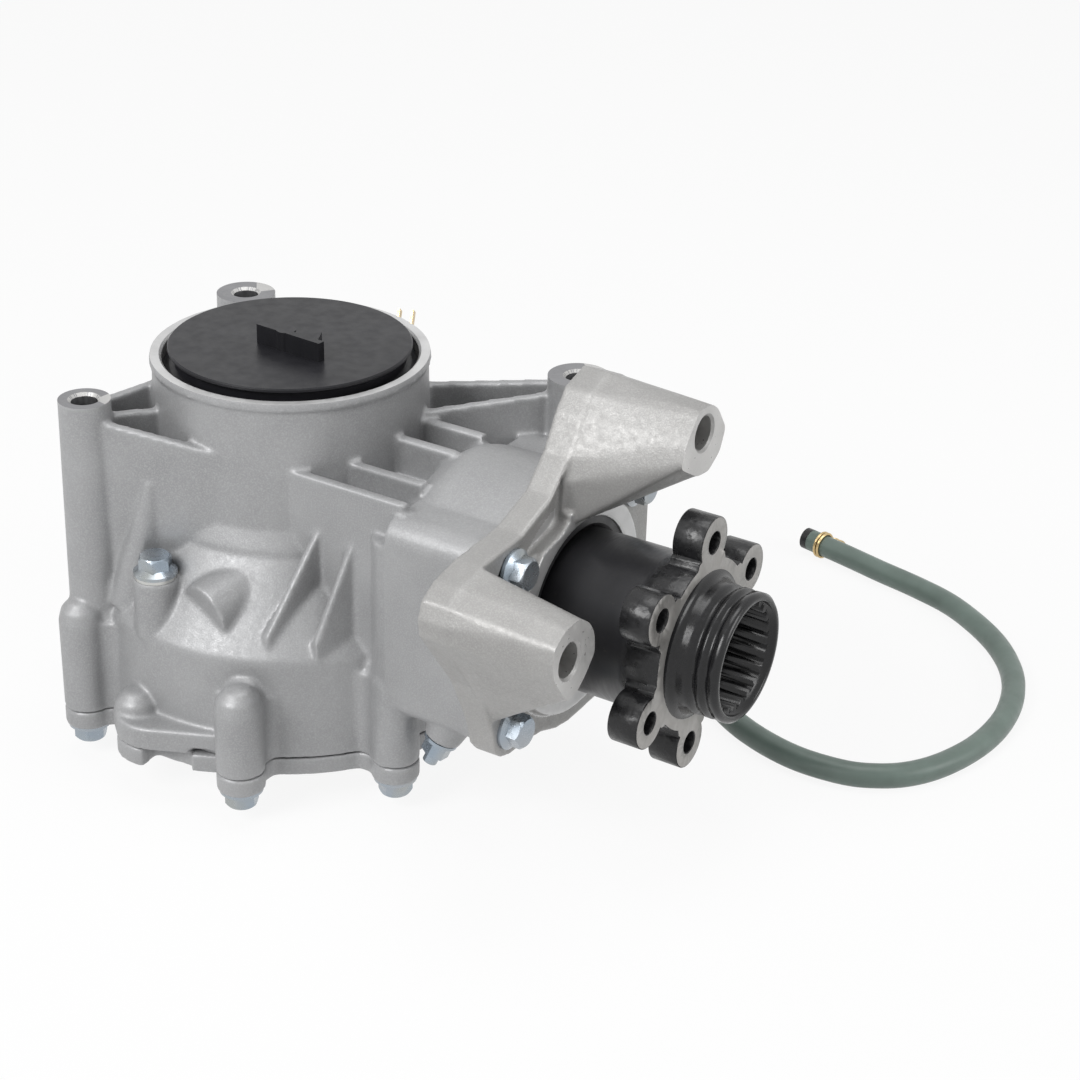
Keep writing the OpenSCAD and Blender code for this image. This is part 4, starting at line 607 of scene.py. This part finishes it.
# Pinion flange
def make_flange():
    def weigh_edges(work):
        """Marks the sharp edges of the ears, which a forging has rounded."""
        work.from_mesh(node_mesh("pinion_flange"))
        weights = work.edges.layers.float.new("bevel_weight_edge")
        for edge in work.edges:
            sharp = len(edge.link_faces) == 2 and edge.calc_face_angle() > math.radians(35)
            if sharp and all(side_r(v.co * 1000) > EAR_INNER_R for v in edge.verts):
                edge[weights] = 1

    piece = link("flange_skin", mesh_of("flange_skin", weigh_edges))
    bevel = piece.modifiers.new("edges", "BEVEL")
    bevel.width = mm(0.5)
    bevel.segments = 2
    bevel.limit_method = "WEIGHT"
    bevel.harden_normals = True
    applied(piece)
    piece.data.polygons.foreach_set("use_smooth", [True] * len(piece.data.polygons))
    piece.data.set_sharp_from_angle(angle=math.radians(38))
    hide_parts("pinion_flange")

    def face(c, n):
        return n.x > 0.999 and near(c.x, FLANGE_X, 0.05)

    def hub(c, n):
        return c.x > FLANGE_X - 1

    def sleeve(c, n):
        return c.x < FLANGE_X - SLEEVE_END and side_r(c) < SLEEVE_R + 1.5

    paint(piece, ("flange_forging", "flange_face", "flange_hub", "flange_sleeve"),
          ((1, face), (2, hub), (3, sleeve)))
    return piece


# Breather hose
def spline_point(route, index, share):
    """Point on the smooth curve through the route, as the CAD model has it."""
    last = len(route) - 1
    a, b = route[max(index - 1, 0)], route[index]
    c, d = route[min(index + 1, last)], route[min(index + 2, last)]
    return 0.5 * (2 * b + (c - a) * share + (2 * a - 5 * b + 4 * c - d) * share ** 2
                  + (3 * b - a - 3 * c + d) * share ** 3)


def make_hose():
    route = [Vector(mm(*p)) for p in HOSE_ROUTE]
    steps = 6
    points = [spline_point(route, i, t / steps)
              for i in range(len(route) - 1) for t in range(steps)]
    points.append(route[-1])
    curve = bpy.data.curves.new("hose_tube", "CURVE")
    curve.dimensions = "3D"
    curve.bevel_depth = mm(HOSE_D) / 2
    curve.bevel_resolution = 6
    curve.use_fill_caps = True
    spline = curve.splines.new("POLY")
    spline.points.add(len(points) - 1)
    for target, point in zip(spline.points, points):
        target.co = (*point, 1)
        target.radius = 1
    spline.use_smooth = True
    hose = link("hose_tube", curve)
    dress(hose, "hose_rubber")
    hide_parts("breather_hose")
    return hose


# Light and floor
def seen_rays(nodes, links):
    """1 for camera, glossy and transmission rays, which see the plain pale background."""
    path = nodes.new("ShaderNodeLightPath")
    total = path.outputs["Is Camera Ray"]
    for name in ("Is Glossy Ray", "Is Transmission Ray"):
        add = nodes.new("ShaderNodeMath")
        add.operation = "MAXIMUM"
        links.new(total, add.inputs[0])
        links.new(path.outputs[name], add.inputs[1])
        total = add.outputs[0]
    return total


def make_stage():
    scene = bpy.context.scene
    scene.view_settings.view_transform = "Standard"
    world = bpy.data.worlds.new("studio")
    scene.world = world
    world.use_nodes = True
    nodes, links = world.node_tree.nodes, world.node_tree.links
    background = nodes["Background"]
    background.inputs["Color"].default_value = (1, 1, 1, 1)
    level = nodes.new("ShaderNodeMapRange")
    level.inputs["To Min"].default_value = 0.2
    level.inputs["To Max"].default_value = 1.0
    links.new(seen_rays(nodes, links), level.inputs["Value"])
    links.new(level.outputs["Result"], background.inputs["Strength"])

    floor = link("floor", mesh_of("floor", lambda w: bmesh.ops.create_grid(
        w, x_segments=1, y_segments=1, size=6)))
    paper = Shader("paper", (0.84, 0.84, 0.84), 0.9)
    glow = paper.node("ShaderNodeEmission", Color=(1, 1, 1, 1), Strength=1.0)
    share = paper.spread(seen_rays(paper.tree.nodes, paper.tree.links), 0, 0.9, 0, 1)
    mixed = paper.node("ShaderNodeMixShader")
    paper.join(share, mixed.inputs["Fac"])
    paper.join(paper.bsdf.outputs["BSDF"], mixed.inputs[1])
    paper.join(glow.outputs["Emission"], mixed.inputs[2])
    paper.join(mixed.outputs["Shader"], paper.tree.nodes["Material Output"].inputs["Surface"])
    floor.data.materials.append(paper.material)
    for name, place, size, power in (
        ("key", (-0.35, -1.5, 1.35), 0.9, 29),
        ("top", (0.1, 0.2, 1.9), 1.0, 11),
        ("right", (1.7, 0.3, 0.8), 0.8, 10),
    ):
        lamp = bpy.data.objects.new(name, bpy.data.lights.new(name, "AREA"))
        lamp.data.size = size
        lamp.data.energy = power
        lamp.location = place
        aim = Vector((0.05, 0, 0.08)) - Vector(place)
        lamp.rotation_euler = aim.to_track_quat("-Z", "Y").to_euler()
        scene.collection.objects.link(lamp)


make_camera()
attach(make_hose(), "housing")
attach(make_case(), "housing")
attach(make_bracket(), "housing")
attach(make_cover(), "housing")
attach(make_flange(), "pinion")

# Every other CAD node keeps its shape and its own finish, and the listed small parts get softened
# edges
SOFT_EDGE_NODES = ("cover_bolts", "bracket_bolts", "level_bolt", "drain_bolt", "stop_stud_nut",
                   "transport_plug", "hose_end_plug", "pinion_nut")
for node, obj in NODES.items():
    if obj.hide_render:
        continue
    dress(obj, frame_slot(node))
    if node in SOFT_EDGE_NODES:
        edge = obj.modifiers.new("edges", "BEVEL")
        edge.width = mm(0.35)
        edge.segments = 2
        edge.limit_method = "ANGLE"
        edge.angle_limit = math.radians(30)
        edge.harden_normals = True

make_stage()
